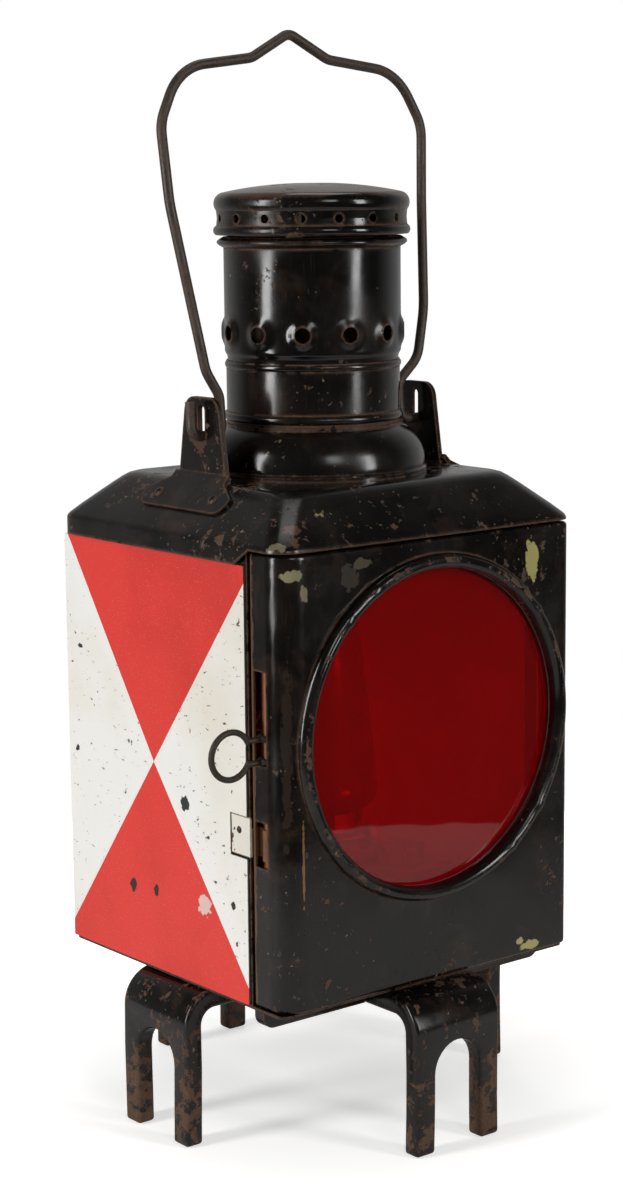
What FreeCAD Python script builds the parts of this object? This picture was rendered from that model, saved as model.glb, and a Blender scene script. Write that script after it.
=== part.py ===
import FreeCAD, Part
import math
import os

# Paraffin tail lamp for the last wagon of a train.
# Units are millimetres. Z = 0 is the plane of the four fork tips, the origin is under
# the chimney, the lens door faces -Y and the latch side faces -X.

V = FreeCAD.Vector
X, Y, Z = V(1, 0, 0), V(0, 1, 0), V(0, 0, 1)

# ---------------------------------------------------------------- driving dimensions
case_width = 184.0            # across the two marker walls
case_back = 89.0              # rear wall, from the chimney axis
case_front = -64.0            # front rim of the case, where the door seats
case_bottom = 80.0            # underside of the walls
door_front = -90.0            # outer face of the lens door
door_top = 299.5
door_wall = 1.2
door_corner = 13.0            # outer radius of the door's upright corner at the latch
door_hinge_corner = 4.0       # and at the hinges
door_seat_gap = 2.0           # case rim to door flange
door_side_gap = 0.4           # door flange set in from the case wall
door_floor_gap = 0.6          # door bottom to floor plate
case_wall = 1.0
floor_wall = 1.2
rim_width = 8.0               # inward rim at the front of the case
back_corner = 4.0

hood_base = 301.0             # foot of the roof slope
hood_rise = 24.0
hood_inset = 24.0             # run of the slope
hood_skirt = 8.0
hood_overhang = 2.5
hood_wall = 1.0
hood_corner = 12.0

lens_x = 2.2
lens_z = 206.8
lens_bead_width = 7.4         # from the lens hole to the outside of the pressed bead
lens_open_r = 78.0
lens_bead_height = 4.6
lens_lap = 4.0                # the glass reaches this far behind the edge of its hole
lens_wall = 3.0
lens_crown = 1.5

bell_r = 56.7
bell_height = 25.0
tube_low_r = 43.4
tube_low_top = 381.0
tube_r = 44.0
tube_top = 441.8
tube_wall = 0.8
bead_height = 3.6
tube_bead_r = 47.3
vent_count = 12
vent_z = 395.0
vent_r = 3.9
cap_r = 48.5
cap_bottom = 442.6
cap_top = 467.6
cap_dome = 4.2                # rise of the crown above its shoulder
cap_hole_count = 16
cap_hole_r = 2.1

fork_x = 105.0                # outer face of the side forks
fork_y = 109.0                # outer face of the front and rear forks
fork_width = 54.0
fork_wall = 10.0
fork_slot = 30.0
fork_slot_top = 54.3
fork_bend = 8.0               # inner bend radius
fork_inner = 46.0             # length of the arm under the floor

lug_set = 0.8                 # from the top of the roof slope in to the outer face of the bail lugs
lug_wall = 2.5
lug_base = 39.0
lug_head = 26.0
lug_top = 366.0
lug_foot_width = 68.0
lug_foot_run = 19.0
pivot_z = 347.0
bail_wire = 5.0
bail_slot = 15.0
bail_lean = 5.0               # the bail rests leaning back by this angle
bail_height = 193.0           # pivot to the crown of the bail
bail_bulge = 10.3             # the bail's sides bow out this far beyond the lugs
bail_sway = 4.0               # the sides are bent a little towards +X

latch_rod_r = 2.0
latch_set = 8.0               # bolt, forward of the case front
ring_r = 11.2                 # centreline radius of the pull ring
ring_wire_r = 1.5
ring_leg = 5.5                # half the distance between the ring's two wire ends
ring_eye_wire_r = 1.65        # the ends are flattened a little where they wrap the bolt
ring_z = 206.5
latch_travel = 30.0
keeper_z0, keeper_z1 = 152.7, 167.8
guide_low_z0, guide_low_z1 = 176.0, 186.0
guide_high_z0, guide_high_z1 = 250.0, 260.0
run_clear = 0.05              # radial clearance of every running fit
free_gap = 0.3

hinge_set = 1.0               # hinge pins, forward of the case front
hinge_r = 3.0
hinge_pin_r = 1.6
hinge_height = 40.0
hinge_spots = {"lower": 100.0, "upper": 240.0}

film_wall = 0.3
plate_wall = 0.8
film_corner = 8.275           # the lines between red and white end this far from the panel's corners
film_inset = 3.0              # the upper rear line ends this far from the corner

tank_width, tank_depth, tank_height = 112.0, 100.0, 42.0
tank_wall = 0.8
burner_r = 14.0
wick_width, wick_wall = 16.0, 2.4
glass_wall = 1.4

# ---------------------------------------------------------------- derived places
half_w = case_width / 2
lens_r = lens_open_r + lens_lap
lens_bead_r = lens_open_r + lens_bead_width
lug_x = half_w + hood_overhang - hood_inset - lug_set
bail_half = lug_x + bail_bulge
latch_y = case_front - latch_set
hinge_x = half_w + hinge_r    # the knuckles rest against the wall
hinge_y = case_front - hinge_set
door_half = half_w - door_side_gap
door_back = case_front - door_seat_gap
door_bottom = case_bottom + door_floor_gap
hood_top = hood_base + hood_rise
hood_half_x = half_w + hood_overhang
hood_back = case_back + hood_overhang
hood_front = door_front - 1.5
skirt_bottom = hood_base - hood_skirt
latch_x = -(door_half - door_wall - 3.5)
bail_r = bail_wire / 2
floor_top = case_bottom
floor_bottom = floor_top - floor_wall
tank_bottom = floor_top
tank_top = tank_bottom + tank_height

os.makedirs("parts", exist_ok=True)
made = {}


# ---------------------------------------------------------------- helpers
def keep(name, shape):
    """Export one node as its own STEP file."""
    shape.exportStep("parts/%s.step" % name)
    made[name] = shape


def box(x0, x1, y0, y1, z0, z1):
    return Part.makeBox(x1 - x0, y1 - y0, z1 - z0, V(x0, y0, z0))


def rod(radius, start, end):
    return Part.makeCylinder(radius, (end - start).Length, start, end - start)


def tube(outer, inner, start, end):
    return rod(outer, start, end).cut(rod(inner, start, end))


def prism(points, direction):
    """Extrude a closed polygon."""
    return Part.Face(Part.makePolygon(points + [points[0]])).extrude(direction)


def rounded_outline(x0, x1, y0, y1, radius, z):
    """Rectangle with round corners, in a horizontal plane."""
    corners = [(x1 - radius, y1 - radius, 0), (x0 + radius, y1 - radius, 90),
               (x0 + radius, y0 + radius, 180), (x1 - radius, y0 + radius, 270)]
    edges = []
    arcs = []
    for cx, cy, start in corners:
        places = [V(cx + radius * math.cos(math.radians(start + a)),
                    cy + radius * math.sin(math.radians(start + a)), z) for a in (0, 45, 90)]
        arcs.append(places)
    for i, places in enumerate(arcs):
        edges.append(Part.Arc(*places).toShape())
        edges.append(Part.LineSegment(places[2], arcs[(i + 1) % 4][0]).toShape())
    return Part.Wire(edges)


def rounded_block(x0, x1, y0, y1, z0, z1, radius):
    return Part.Face(rounded_outline(x0, x1, y0, y1, radius, z0)).extrude(V(0, 0, z1 - z0))


def spun(points):
    """Revolve a closed (radius, height) chain about Z. A step ('arc', mid, end) is an arc."""
    edges = []
    here = V(points[0][0], 0, points[0][1])
    for step in points[1:]:
        if step[0] == "arc":
            mid, end = V(step[1][0], 0, step[1][1]), V(step[2][0], 0, step[2][1])
            edges.append(Part.Arc(here, mid, end).toShape())
        else:
            end = V(step[0], 0, step[1])
            edges.append(Part.LineSegment(here, end).toShape())
        here = end
    start = V(points[0][0], 0, points[0][1])
    if here.distanceToPoint(start) > 1e-6:
        edges.append(Part.LineSegment(here, start).toShape())
    return Part.Face(Part.Wire(edges)).revolve(V(0, 0, 0), Z, 360)


def bent_wire(points, radii, wire_r):
    """Round wire through points, with an arc of the given radius at each inner point."""
    edges = []
    here = points[0]
    for i in range(1, len(points) - 1):
        before = (points[i - 1] - points[i]).normalize()
        after = (points[i + 1] - points[i]).normalize()
        half = before.getAngle(after) / 2
        reach = radii[i - 1] / math.tan(half)
        first = points[i] + before * reach
        last = points[i] + after * reach
        inward = (before + after).normalize()
        mid = points[i] + inward * (radii[i - 1] / math.sin(half) - radii[i - 1])
        if (first - here).Length > 1e-4:
            edges.append(Part.LineSegment(here, first).toShape())
        edges.append(Part.Arc(first, mid, last).toShape())
        here = last
    edges.append(Part.LineSegment(here, points[-1]).toShape())
    path = Part.Wire(edges)
    profile = Part.Wire(Part.makeCircle(wire_r, points[0], points[1] - points[0]))
    return path.makePipeShell([profile], True, False)


# ---------------------------------------------------------------- case
def make_case():
    """Sheet wrapped round left, back and right, with an inward rim at the front."""
    top = hood_base
    outer = rounded_block(-half_w, half_w, case_front, case_back, case_bottom, top, back_corner)
    outer = outer.fuse(box(-half_w, half_w, case_front, 0, case_bottom, top))
    inner = rounded_block(-half_w + case_wall, half_w - case_wall, case_front + case_wall,
                          case_back - case_wall, case_bottom, top, back_corner - case_wall)
    inner = inner.fuse(box(-half_w + case_wall, half_w - case_wall,
                           case_front + case_wall, 0, case_bottom, top))
    shell = outer.cut(inner)
    mouth = box(-half_w + rim_width, half_w - rim_width, case_front - 1, case_front + 5,
                case_bottom + rim_width, top - rim_width)
    return shell.cut(mouth).removeSplitter()


def make_floor():
    """Floor plate that also runs under the door, with a low upstand inside the walls."""
    front = door_front + 3
    plate = rounded_block(-half_w, half_w, front, case_back, floor_bottom, floor_top, back_corner)
    inside = half_w - case_wall
    upstand = 6.0
    y0, y1 = case_front + case_wall, case_back - case_wall
    ring = rounded_block(-inside, inside, y0, y1, floor_top, floor_top + upstand, back_corner - case_wall)
    ring = ring.cut(rounded_block(-inside + 1, inside - 1, y0 + 1, y1 - 1, floor_top,
                                  floor_top + upstand, back_corner - case_wall - 1))
    return plate.fuse(ring).removeSplitter()


def make_sill():
    """Pressed channel under the front rim, with round ends."""
    depth, height, radius = 7.0, 9.5, 6.0
    y1 = case_front + 1
    sill = box(-half_w + 2, half_w - 2, y1 - depth, y1, floor_bottom - height, floor_bottom)
    low = [e for e in sill.Edges
           if abs(e.Vertexes[0].Z - e.Vertexes[1].Z) < 1e-6
           and e.Vertexes[0].Z < floor_bottom - 1
           and abs(e.Vertexes[0].X - e.Vertexes[1].X) < 1e-6]
    sill = sill.makeFillet(radius, low)
    hollow = box(-half_w + 8, half_w - 8, y1 - depth + 1.2, y1 - 1.2,
                 floor_bottom - height + 1.2, floor_bottom)
    fork_room = fork_width / 2 + free_gap
    return sill.cut(hollow).cut(box(-fork_room, fork_room, y1 - depth - 1, y1 + 1, 0, floor_bottom))


keep("case_shell", make_case())
keep("floor_pan", make_floor())
keep("door_sill", make_sill())


# ---------------------------------------------------------------- marker walls
film_y0 = case_front + 1.5
film_y1 = case_back - 1.0
film_z0 = case_bottom + 0.5
film_z1 = skirt_bottom - free_gap
film_cy = (film_y0 + film_y1) / 2
film_cz = (film_z0 + film_z1) / 2
leaf_gap = 0.4


def leaf_windows(side):
    """Rooms in the marker plate for the leaves that are fixed to the wall."""
    if side < 0:
        spots = [(keeper_z0 - leaf_gap, keeper_z1 + 5 + leaf_gap, case_front + 14)]
    else:
        spots = [(z - leaf_gap, z + hinge_height + leaf_gap, case_front + 18)
                 for z in hinge_spots.values()]
    x0, x1 = sorted((side * (half_w - 1), side * (half_w + 4)))
    return [box(x0, x1, film_y0 - 5, y1 + leaf_gap, z0, z1) for z0, z1, y1 in spots]


def marker_panel(side, layer_in, layer_out, outline):
    x = side * (half_w + layer_in)
    points = [V(x, y, z) for y, z in outline]
    shape = prism(points, V(side * (layer_out - layer_in), 0, 0))
    for window in leaf_windows(side):
        shape = shape.cut(window)
    return shape


def marker_outlines():
    """Full panel, two red quarters and two white quarters, meeting at the centre."""
    za, zb = film_z0 + film_corner, film_z1 - film_corner
    full = [(film_y0, film_z0), (film_y1, film_z0), (film_y1, film_z1), (film_y0, film_z1)]
    centre = (film_cy, film_cz)
    yb = film_y1 - film_inset     # the upper rear line was cut a little steeper
    red = [[(film_y0, zb), centre, (yb, film_z1), (film_y0, film_z1)],
           [(film_y0, za), centre, (film_y1, za), (film_y1, film_z0), (film_y0, film_z0)]]
    white = [[(film_y0, za), centre, (film_y0, zb)], [(film_y1, za), centre, (yb, film_z1), (film_y1, film_z1)]]
    return full, red, white


panel_outline, red_outlines, white_outlines = marker_outlines()
for side, word in ((-1, "left"), (1, "right")):
    keep("marker_plate_" + word, marker_panel(side, 0, plate_wall, panel_outline))
    for colour, outlines in (("red", red_outlines), ("white", white_outlines)):
        pieces = [marker_panel(side, plate_wall, plate_wall + film_wall, o) for o in outlines]
        keep("%s_film_%s" % (colour, word), Part.makeCompound(pieces))


# ---------------------------------------------------------------- roof
def hood_solid(inward, top_cut):
    """Slope and skirt as one solid block, shrunk by a wall where asked."""
    hx, y0, y1 = hood_half_x - inward, hood_front + inward, hood_back - inward
    corner = hood_corner - inward
    low = rounded_outline(-hx, hx, y0, y1, corner, hood_base)
    run = hood_inset
    high = rounded_outline(-hx + run, hx - run, y0 + run, y1 - run, corner, hood_top - top_cut)
    slope = Part.makeLoft([low, high], True, True)
    skirt = rounded_block(-hx, hx, y0, y1, skirt_bottom - 1, hood_base, corner)
    return slope, skirt


def make_hood():
    """Pressed roof: flat top, four slopes and a hemmed skirt that stops at the door."""
    slope, skirt = hood_solid(0, 0)
    slope_in = hood_solid(hood_wall * 1.4, hood_wall)[0]
    room = rounded_block(-half_w, half_w, door_front - 5, case_back, skirt_bottom - 2, hood_base,
                         back_corner)
    skirt = skirt.cut(room)
    skirt = skirt.cut(box(-200, 200, -200, case_front - 0.5, skirt_bottom - 5, hood_base))
    skirt = skirt.cut(box(-200, 200, -200, 200, skirt_bottom - 5, skirt_bottom))
    roof = slope.cut(slope_in)
    mouth = rod(tube_low_r - 2, V(0, 0, hood_base), V(0, 0, hood_top + 5))
    return roof.fuse(skirt).cut(mouth).removeSplitter()


keep("roof_hood", make_hood())


# ---------------------------------------------------------------- chimney
def make_bell():
    r0, r1 = bell_r, tube_low_r + 1.4
    z0, z1 = hood_top, hood_top + bell_height
    w = tube_wall
    return spun([(r0, z0), (r0, z0 + 2.0), (r0 - 0.9, z0 + 3.2),
                 ("arc", (r0 - 4.4, z0 + bell_height * 0.66), (r1, z1 - 1.5)), (r1, z1),
                 (tube_low_r, z1), (tube_low_r, z1 - 3),
                 ("arc", (r0 - 4.4 - w * 1.6, z0 + bell_height * 0.60), (r0 - 0.9 - w, z0 + 2.4)),
                 (r0 - w, z0 + w), (tube_low_r - 1.9, z0 + w), (tube_low_r - 1.9, z0)])


def beaded_tube(radius, wall, z0, z1, beads, mouth_flare=0.0):
    """Sheet tube with round swaged beads at (height, extra radius, half width)."""
    outer = [(radius, z0)]
    for z, extra, half in beads:
        outer.append((radius, z - half))
        outer.append(("arc", (radius + extra, z), (radius, z + half)))
    outer.append((radius + mouth_flare, z1))
    return spun(outer + [(radius + mouth_flare - wall, z1), (radius - wall, z1 - 2), (radius - wall, z0)])


def make_tube_low():
    z0 = hood_top + bell_height
    return beaded_tube(tube_low_r, tube_wall, z0, tube_low_top,
                       [(z0 + 3.6, 1.7, 2.2), (tube_low_top - 2.0, 0.7, 1.6)])


def make_tube_high():
    """Upper tube: necked foot, drawn vent collars, and the big bead under the cap."""
    r, w, z0 = tube_r, tube_wall, tube_low_top
    neck = tube_low_r - tube_wall
    socket = 8.0
    body = spun([(neck, z0 - socket), (neck, z0 + 2.0), (r, z0 + 4.0), (r, tube_top - bead_height),
                 ("arc", (tube_bead_r, tube_top - bead_height / 2), (r, tube_top)),
                 (r - w, tube_top), (r - w, z0 + 4.0), (neck - w, z0 + 2.0), (neck - w, z0 - socket)])
    collar_out = 1.5
    cuts = []
    for i in range(vent_count):
        a = math.radians((i + 0.5) * 360 / vent_count)
        out = V(math.cos(a), math.sin(a), 0)
        start = out * (r - w - 0.6) + V(0, 0, vent_z)
        base = Part.makeCone(vent_r + 2.6, vent_r + 0.7, collar_out + w, out * (r - w) + V(0, 0, vent_z), out)
        body = body.fuse(base)
        cuts.append(rod(vent_r, start - out * 2, start + out * 6))
    inner = rod(r - w, V(0, 0, z0 + 5), V(0, 0, tube_top - 1))
    body = body.cut(inner)
    for cut in cuts:
        body = body.cut(cut)
    return body.removeSplitter()


def make_cap():
    """Pressed cap: lip, waist with a ring of draught holes, bulge and flat crown."""
    r, w = cap_r, tube_wall
    z0, z1 = cap_bottom, cap_top
    outer = [(r - 0.8, z0), ("arc", (r + 0.4, z0 + 2.2), (r - 1.1, z0 + 4.6)), (r - 1.5, z0 + 8.2),
             (r - 1.1, z0 + 12.0), ("arc", (r - 0.1, z0 + 16.8), (r - 4.5, z1 - cap_dome)),
             ("arc", (r * 0.5, z1 - cap_dome * 0.25), (0.01, z1))]
    inner = [(0.01, z1 - w), ("arc", (r * 0.5, z1 - cap_dome * 0.25 - w), (r - 5.0, z1 - cap_dome - w)),
             ("arc", (r - 0.1 - w, z0 + 16.4), (r - 1.1 - w, z0 + 12.0)), (r - 1.5 - w, z0 + 8.2),
             (r - 1.1 - w, z0 + 4.6), (r - 0.8 - w, z0)]
    cap = spun(outer + inner)
    for i in range(cap_hole_count):
        a = math.radians(i * 360 / cap_hole_count)
        out = V(math.cos(a), math.sin(a), 0)
        cap = cap.cut(rod(cap_hole_r, out * (r - 8) + V(0, 0, z0 + 8.2), out * (r + 5) + V(0, 0, z0 + 8.2)))
    return cap


def make_cap_stays():
    """Three bent strips that hold the cap above the tube."""
    inside, under_cap = tube_r - tube_wall, cap_r - 1.5 - tube_wall
    t = 1.2
    z0, z1, z2, z3 = tube_top - 14, tube_top + 1.5, cap_bottom + 6.0, cap_bottom + 11.0
    outline = [(inside - t, z0), (inside, z0), (inside, z1), (under_cap, z2), (under_cap, z3),
               (under_cap - t, z3), (under_cap - t, z2), (inside - t, z1)]
    room = rod(inside, V(0, 0, z0), V(0, 0, z1)).fuse(rod(under_cap, V(0, 0, z1), V(0, 0, z3)))
    stays = []
    for i in range(3):
        stay = prism([V(x, -4, z) for x, z in outline], V(0, 8, 0)).common(room)
        stay.rotate(V(0, 0, 0), Z, 120 * i + 100)
        stays.append(stay)
    return Part.makeCompound(stays)


flue_r = 34.0


def make_flue():
    """Inner draught pipe."""
    z = hood_top - hood_wall
    return tube(flue_r, flue_r - tube_wall, V(0, 0, z - 20), V(0, 0, tube_top - 26))


def make_flue_collar():
    """Flat ring under the roof that carries the draught pipe."""
    z = hood_top - hood_wall
    return tube(tube_low_r + 4, flue_r, V(0, 0, z - 1), V(0, 0, z))


def make_baffle():
    """Disc on three legs that keeps the wind out of the draught pipe."""
    z = tube_top - 16
    inside = flue_r - tube_wall
    disc = Part.makeCone(36, 30, 3, V(0, 0, z))
    room = rod(inside, V(0, 0, z - 20), V(0, 0, z + 3))
    legs = []
    for i in range(3):
        leg = box(inside - 2, inside, -2.5, 2.5, z - 16, z + 1).common(room)
        leg.rotate(V(0, 0, 0), Z, 120 * i + 40)
        legs.append(leg)
    return disc.fuse(legs)


keep("chimney_bell", make_bell())
keep("chimney_lower", make_tube_low())
keep("chimney_upper", make_tube_high())
keep("chimney_cap", make_cap())
keep("cap_stays", make_cap_stays())
keep("inner_flue", make_flue())
keep("flue_collar", make_flue_collar())
keep("wind_baffle", make_baffle())


# ---------------------------------------------------------------- bail and lugs
def make_lug(side):
    """Upright tapered lug with a slot, and a foot bent out onto the roof slope."""
    xo, xi = lug_x, lug_x - lug_wall
    head_r = 8.0
    z0 = hood_top - 1.0
    plate = prism([V(xi, -lug_base / 2, z0), V(xi, lug_base / 2, z0), V(xi, lug_head / 2, lug_top),
                   V(xi, -lug_head / 2, lug_top)], V(lug_wall, 0, 0))
    head = [e for e in plate.Edges if e.Length < lug_wall + 0.01 and e.Vertexes[0].Z > lug_top - 1]
    plate = plate.makeFillet(head_r, head)
    r = bail_r + run_clear
    slot = rod(r, V(xi - 1, 0, pivot_z), V(xo + 1, 0, pivot_z))
    slot = slot.fuse(box(xi - 1, xo + 1, -r, r, pivot_z, pivot_z + bail_slot - r))
    slot = slot.fuse(rod(r, V(xi - 1, 0, pivot_z + bail_slot - r), V(xo + 1, 0, pivot_z + bail_slot - r)))
    bend_back = 3.6
    narrow, wide = lug_base / 2 + 2.0, lug_foot_width / 2
    spread = 9.0
    foot = prism([V(-bend_back, -narrow, 0), V(1.0, -narrow, 0), V(spread, -wide, 0), V(lug_foot_run, -wide, 0),
                  V(lug_foot_run, wide, 0), V(spread, wide, 0), V(1.0, narrow, 0), V(-bend_back, narrow, 0)],
                 V(0, 0, lug_wall))
    corners = [e for e in foot.Edges if abs(e.Vertexes[0].Z - e.Vertexes[1].Z) > 1]
    outer = [e for e in corners if e.Vertexes[0].X > spread + 1]
    foot = foot.makeFillet(7.0, outer)
    tilt = math.degrees(math.atan2(hood_rise, hood_inset))
    foot.rotate(V(0, 0, 0), Y, tilt)
    run_start = hood_half_x - hood_inset
    foot.translate(V(run_start, 0, hood_top))
    lug = plate.cut(slot).fuse(foot)
    hood = hood_solid(0, 0)[0]
    lug = lug.cut(hood).removeSplitter()
    if side < 0:
        lug = lug.mirror(V(0, 0, 0), X)
    return lug


def make_lug_rivets():
    """Two round-headed rivets through each lug foot."""
    tilt = math.atan2(hood_rise, hood_inset)
    normal = V(math.sin(tilt), 0, math.cos(tilt))
    down = V(math.cos(tilt), 0, -math.sin(tilt))
    rivets = []
    for y in (-22, 22):
        seat = V(hood_half_x - hood_inset, y, hood_top) + down * 11 + normal * lug_wall
        ball = Part.makeSphere(3.6, seat - normal * 2.2)
        head = ball.common(rod(4, seat, seat + normal * 3))
        rivets += [head, head.mirror(V(0, 0, 0), X)]
    return Part.makeCompound(rivets)


def make_bail():
    """Handle wire: hooked ends in the lug slots, bowed sides and a kinked crown."""
    zc = pivot_z
    top = zc + bail_height
    inner_x = lug_x - lug_wall - 9.7
    outer_x = lug_x + 5.6
    hook_z = zc + 17.0
    side_run = [(inner_x, zc + 19.0, 0), (lug_x - 1.5, zc + 31.0, 0.9), (bail_half - 6.5, zc + 56.0, 1.1),
                (bail_half, zc + 112.0, 0.2), (bail_half + 2.5, zc + 150.0, 0.3),
                (bail_half - 11.5, top - 16.5, 0.1), (24.0, top - 11.0, 0), (0, top + 1.5, 0)]
    hook = [(outer_x, hook_z, 0), (outer_x, zc, 0), (inner_x, zc, 0)]
    half = hook + side_run
    bends = [5.0, 5.0, 9.0, 16.0, 60.0, 70.0, 22.0, 28.0, 13.0]
    right = [V(x + bail_sway * share, 0, z) for x, z, share in half]
    left = [V(-x + bail_sway * share, 0, z) for x, z, share in reversed(half[:-1])]
    radii = bends + [7.0] + list(reversed(bends))
    wire = bent_wire(right + left, radii, bail_r)
    wire.rotate(V(0, 0, zc), X, -bail_lean)
    return wire


keep("lug_left", make_lug(-1))
keep("lug_right", make_lug(1))
keep("lug_rivets", make_lug_rivets())
keep("bail", make_bail())


# ---------------------------------------------------------------- lens door
def door_outline(inward, z):
    """Pan outline, open to the rear."""
    h, y0, y1 = door_half - inward, door_front + inward, door_back
    r = door_corner - inward
    s = door_hinge_corner - inward
    k, m = [radius * (1 - math.sqrt(0.5)) for radius in (r, s)]
    edges = [Part.LineSegment(V(-h, y1, z), V(-h, y0 + r, z)).toShape(),
             Part.Arc(V(-h, y0 + r, z), V(-h + k, y0 + k, z), V(-h + r, y0, z)).toShape(),
             Part.LineSegment(V(-h + r, y0, z), V(h - s, y0, z)).toShape(),
             Part.Arc(V(h - s, y0, z), V(h - m, y0 + m, z), V(h, y0 + s, z)).toShape(),
             Part.LineSegment(V(h, y0 + s, z), V(h, y1, z)).toShape(),
             Part.LineSegment(V(h, y1, z), V(-h, y1, z)).toShape()]
    return Part.Face(Part.Wire(edges))


def ring_y(profile):
    """Revolve a (radius, y) chain about the lens axis."""
    axis_point = V(lens_x, 0, lens_z)
    points = [axis_point + V(r, y, 0) for r, y in profile]
    return Part.Face(Part.makePolygon(points + [points[0]])).revolve(axis_point, Y, 360)


def bead_profile():
    """Half-round pressed bead round the lens opening, as a sheet section."""
    steps = 8
    mid = (lens_bead_r + lens_open_r) / 2
    half = (lens_bead_r - lens_open_r) / 2
    outer, inner = [], []
    for i in range(steps + 1):
        a = math.pi * i / steps
        outer.append((mid + half * math.cos(a), door_front - lens_bead_height * math.sin(a)))
        inner.append((mid + (half - door_wall) * math.cos(a),
                      door_front + door_wall - lens_bead_height * math.sin(a)))
    lip = [(lens_open_r, door_front + door_wall * 2), (lens_open_r + door_wall, door_front + door_wall * 2)]
    return outer + lip + list(reversed(inner)) + [(lens_bead_r, door_front + door_wall)]


eye_reach = ring_leg + ring_eye_wire_r
latch_slot_z0 = ring_z - eye_reach - 2 * run_clear
latch_slot_z1 = ring_z + eye_reach + latch_travel + free_gap
keeper_slot_z0, keeper_slot_z1 = keeper_z0 - 3.0, keeper_z1 + 4.0
slot_y0, slot_y1 = latch_y - 4.6, latch_y + 4.6


def make_door():
    """Deep pressed door: rounded upright corners, flanges all round, lens bead, two slots."""
    outer = door_outline(0, door_bottom).extrude(V(0, 0, door_top - door_bottom))
    inner = door_outline(door_wall, door_bottom + door_wall)
    inner = inner.extrude(V(0, 0, door_top - door_bottom - 2 * door_wall))
    pan = outer.cut(inner)
    hole = rod(lens_bead_r - 0.01, V(lens_x, door_front - 2, lens_z), V(lens_x, door_front + 3, lens_z))
    pan = pan.cut(hole).fuse(ring_y(bead_profile()))
    for z0, z1 in ((latch_slot_z0, latch_slot_z1), (keeper_slot_z0, keeper_slot_z1)):
        pan = pan.cut(box(-door_half - 2, -door_half + door_wall + 1, slot_y0, slot_y1, z0, z1))
    return pan.removeSplitter()


glass_front = door_front + door_wall * 2 + 0.6
gasket_wall = 0.6


def make_lens():
    """Round ruby glass, slightly domed to the front, flat at the back."""
    back = glass_front + lens_wall
    chord = lens_open_r - 0.5
    sphere_r = (chord ** 2 + lens_crown ** 2) / (2 * lens_crown)
    crown = Part.makeSphere(sphere_r, V(lens_x, glass_front - lens_crown + sphere_r, lens_z))
    front = rod(chord, V(lens_x, glass_front - lens_crown - 1, lens_z), V(lens_x, glass_front, lens_z))
    rim = rod(lens_r, V(lens_x, glass_front, lens_z), V(lens_x, back, lens_z))
    return rim.fuse(front.common(crown)).removeSplitter()


def make_gasket():
    return ring_y([(lens_open_r + 0.2, glass_front - gasket_wall), (lens_r, glass_front - gasket_wall),
                   (lens_r, glass_front), (lens_open_r + 0.2, glass_front)])


def make_retainer():
    """Ring behind the glass, with an edge that wraps round it to the door sheet."""
    back = glass_front + lens_wall
    edge = lens_r + 0.2
    outside = lens_r + 1.2
    return ring_y([(lens_r - 5, back), (edge, back), (edge, door_front + door_wall),
                   (outside, door_front + door_wall), (outside, back + 1.0), (lens_r - 5, back + 1.0)])


def make_clips():
    """Four spring clips that press the retainer to the door."""
    back = glass_front + lens_wall + 1.0
    clips = []
    for angle in (45, 135, 225, 315):
        foot = box(lens_r + 1.4, lens_r + 8.5, door_front + door_wall, door_front + door_wall + 1, -6, 6)
        post = box(lens_r + 1.4, lens_r + 2.4, door_front + door_wall, back + 1, -6, 6)
        finger = box(lens_r - 5, lens_r + 2.4, back, back + 1, -6, 6)
        clip = foot.fuse([post, finger])
        clip.rotate(V(0, 0, 0), Y, angle)
        clip.translate(V(lens_x, 0, lens_z))
        clips.append(clip)
    return Part.makeCompound(clips)


def make_guides():
    """Two barrels inside the door flange that the bolt slides in."""
    guides = []
    for z0, z1 in ((guide_low_z0, guide_low_z1), (guide_high_z0, guide_high_z1)):
        barrel = rod(3.5, V(latch_x, latch_y, z0), V(latch_x, latch_y, z1))
        pad = box(-door_half + door_wall, latch_x, latch_y - 3.0, latch_y + 3.0, z0, z1)
        bore = rod(latch_rod_r + run_clear, V(latch_x, latch_y, z0 - 1), V(latch_x, latch_y, z1 + 1))
        guides.append(barrel.fuse(pad).cut(bore).removeSplitter())
    return Part.makeCompound(guides)


keep("door_panel", make_door())
keep("red_lens", make_lens())
keep("lens_gasket", make_gasket())
keep("lens_retainer", make_retainer())
keep("lens_clips", make_clips())
keep("bolt_guides", make_guides())


# ---------------------------------------------------------------- latch
def make_rod():
    """Upright bolt with a chamfered nose."""
    z0, z1 = keeper_z0 - 7.0, guide_high_z1 + 3.0
    bolt = rod(latch_rod_r, V(latch_x, latch_y, z0), V(latch_x, latch_y, z1))
    nose = [e for e in bolt.Edges if abs(e.BoundBox.ZMax - z0) < 1e-6 and abs(e.BoundBox.ZMin - z0) < 1e-6]
    return bolt.makeChamfer(0.8, nose)


def make_ring_pull():
    """Open wire ring whose two ends run through the slot and wrap the bolt."""
    w = ring_wire_r
    cx = -door_half - 4.5 - ring_r - w
    leg = ring_leg
    reach = math.sqrt(ring_r ** 2 - leg ** 2)
    centre = V(cx, latch_y, ring_z)
    ends = [centre + V(reach, 0, leg), centre + V(-ring_r, 0, 0), centre + V(reach, 0, -leg)]
    eye_centre = latch_rod_r + run_clear + ring_eye_wire_r
    tips = [V(latch_x - eye_centre, latch_y, ring_z + up * leg) for up in (1, -1)]
    path = Part.Wire([Part.LineSegment(tips[0], ends[0]).toShape(), Part.Arc(*ends).toShape(),
                      Part.LineSegment(ends[2], tips[1]).toShape()])
    profile = Part.Wire(Part.makeCircle(w, tips[0], X))
    right_corner = 1
    ring = path.makePipeShell([profile], True, False, right_corner)
    eyes = [Part.makeTorus(eye_centre, ring_eye_wire_r, V(latch_x, latch_y, tip.z), Z) for tip in tips]
    return ring.fuse(eyes)


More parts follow.
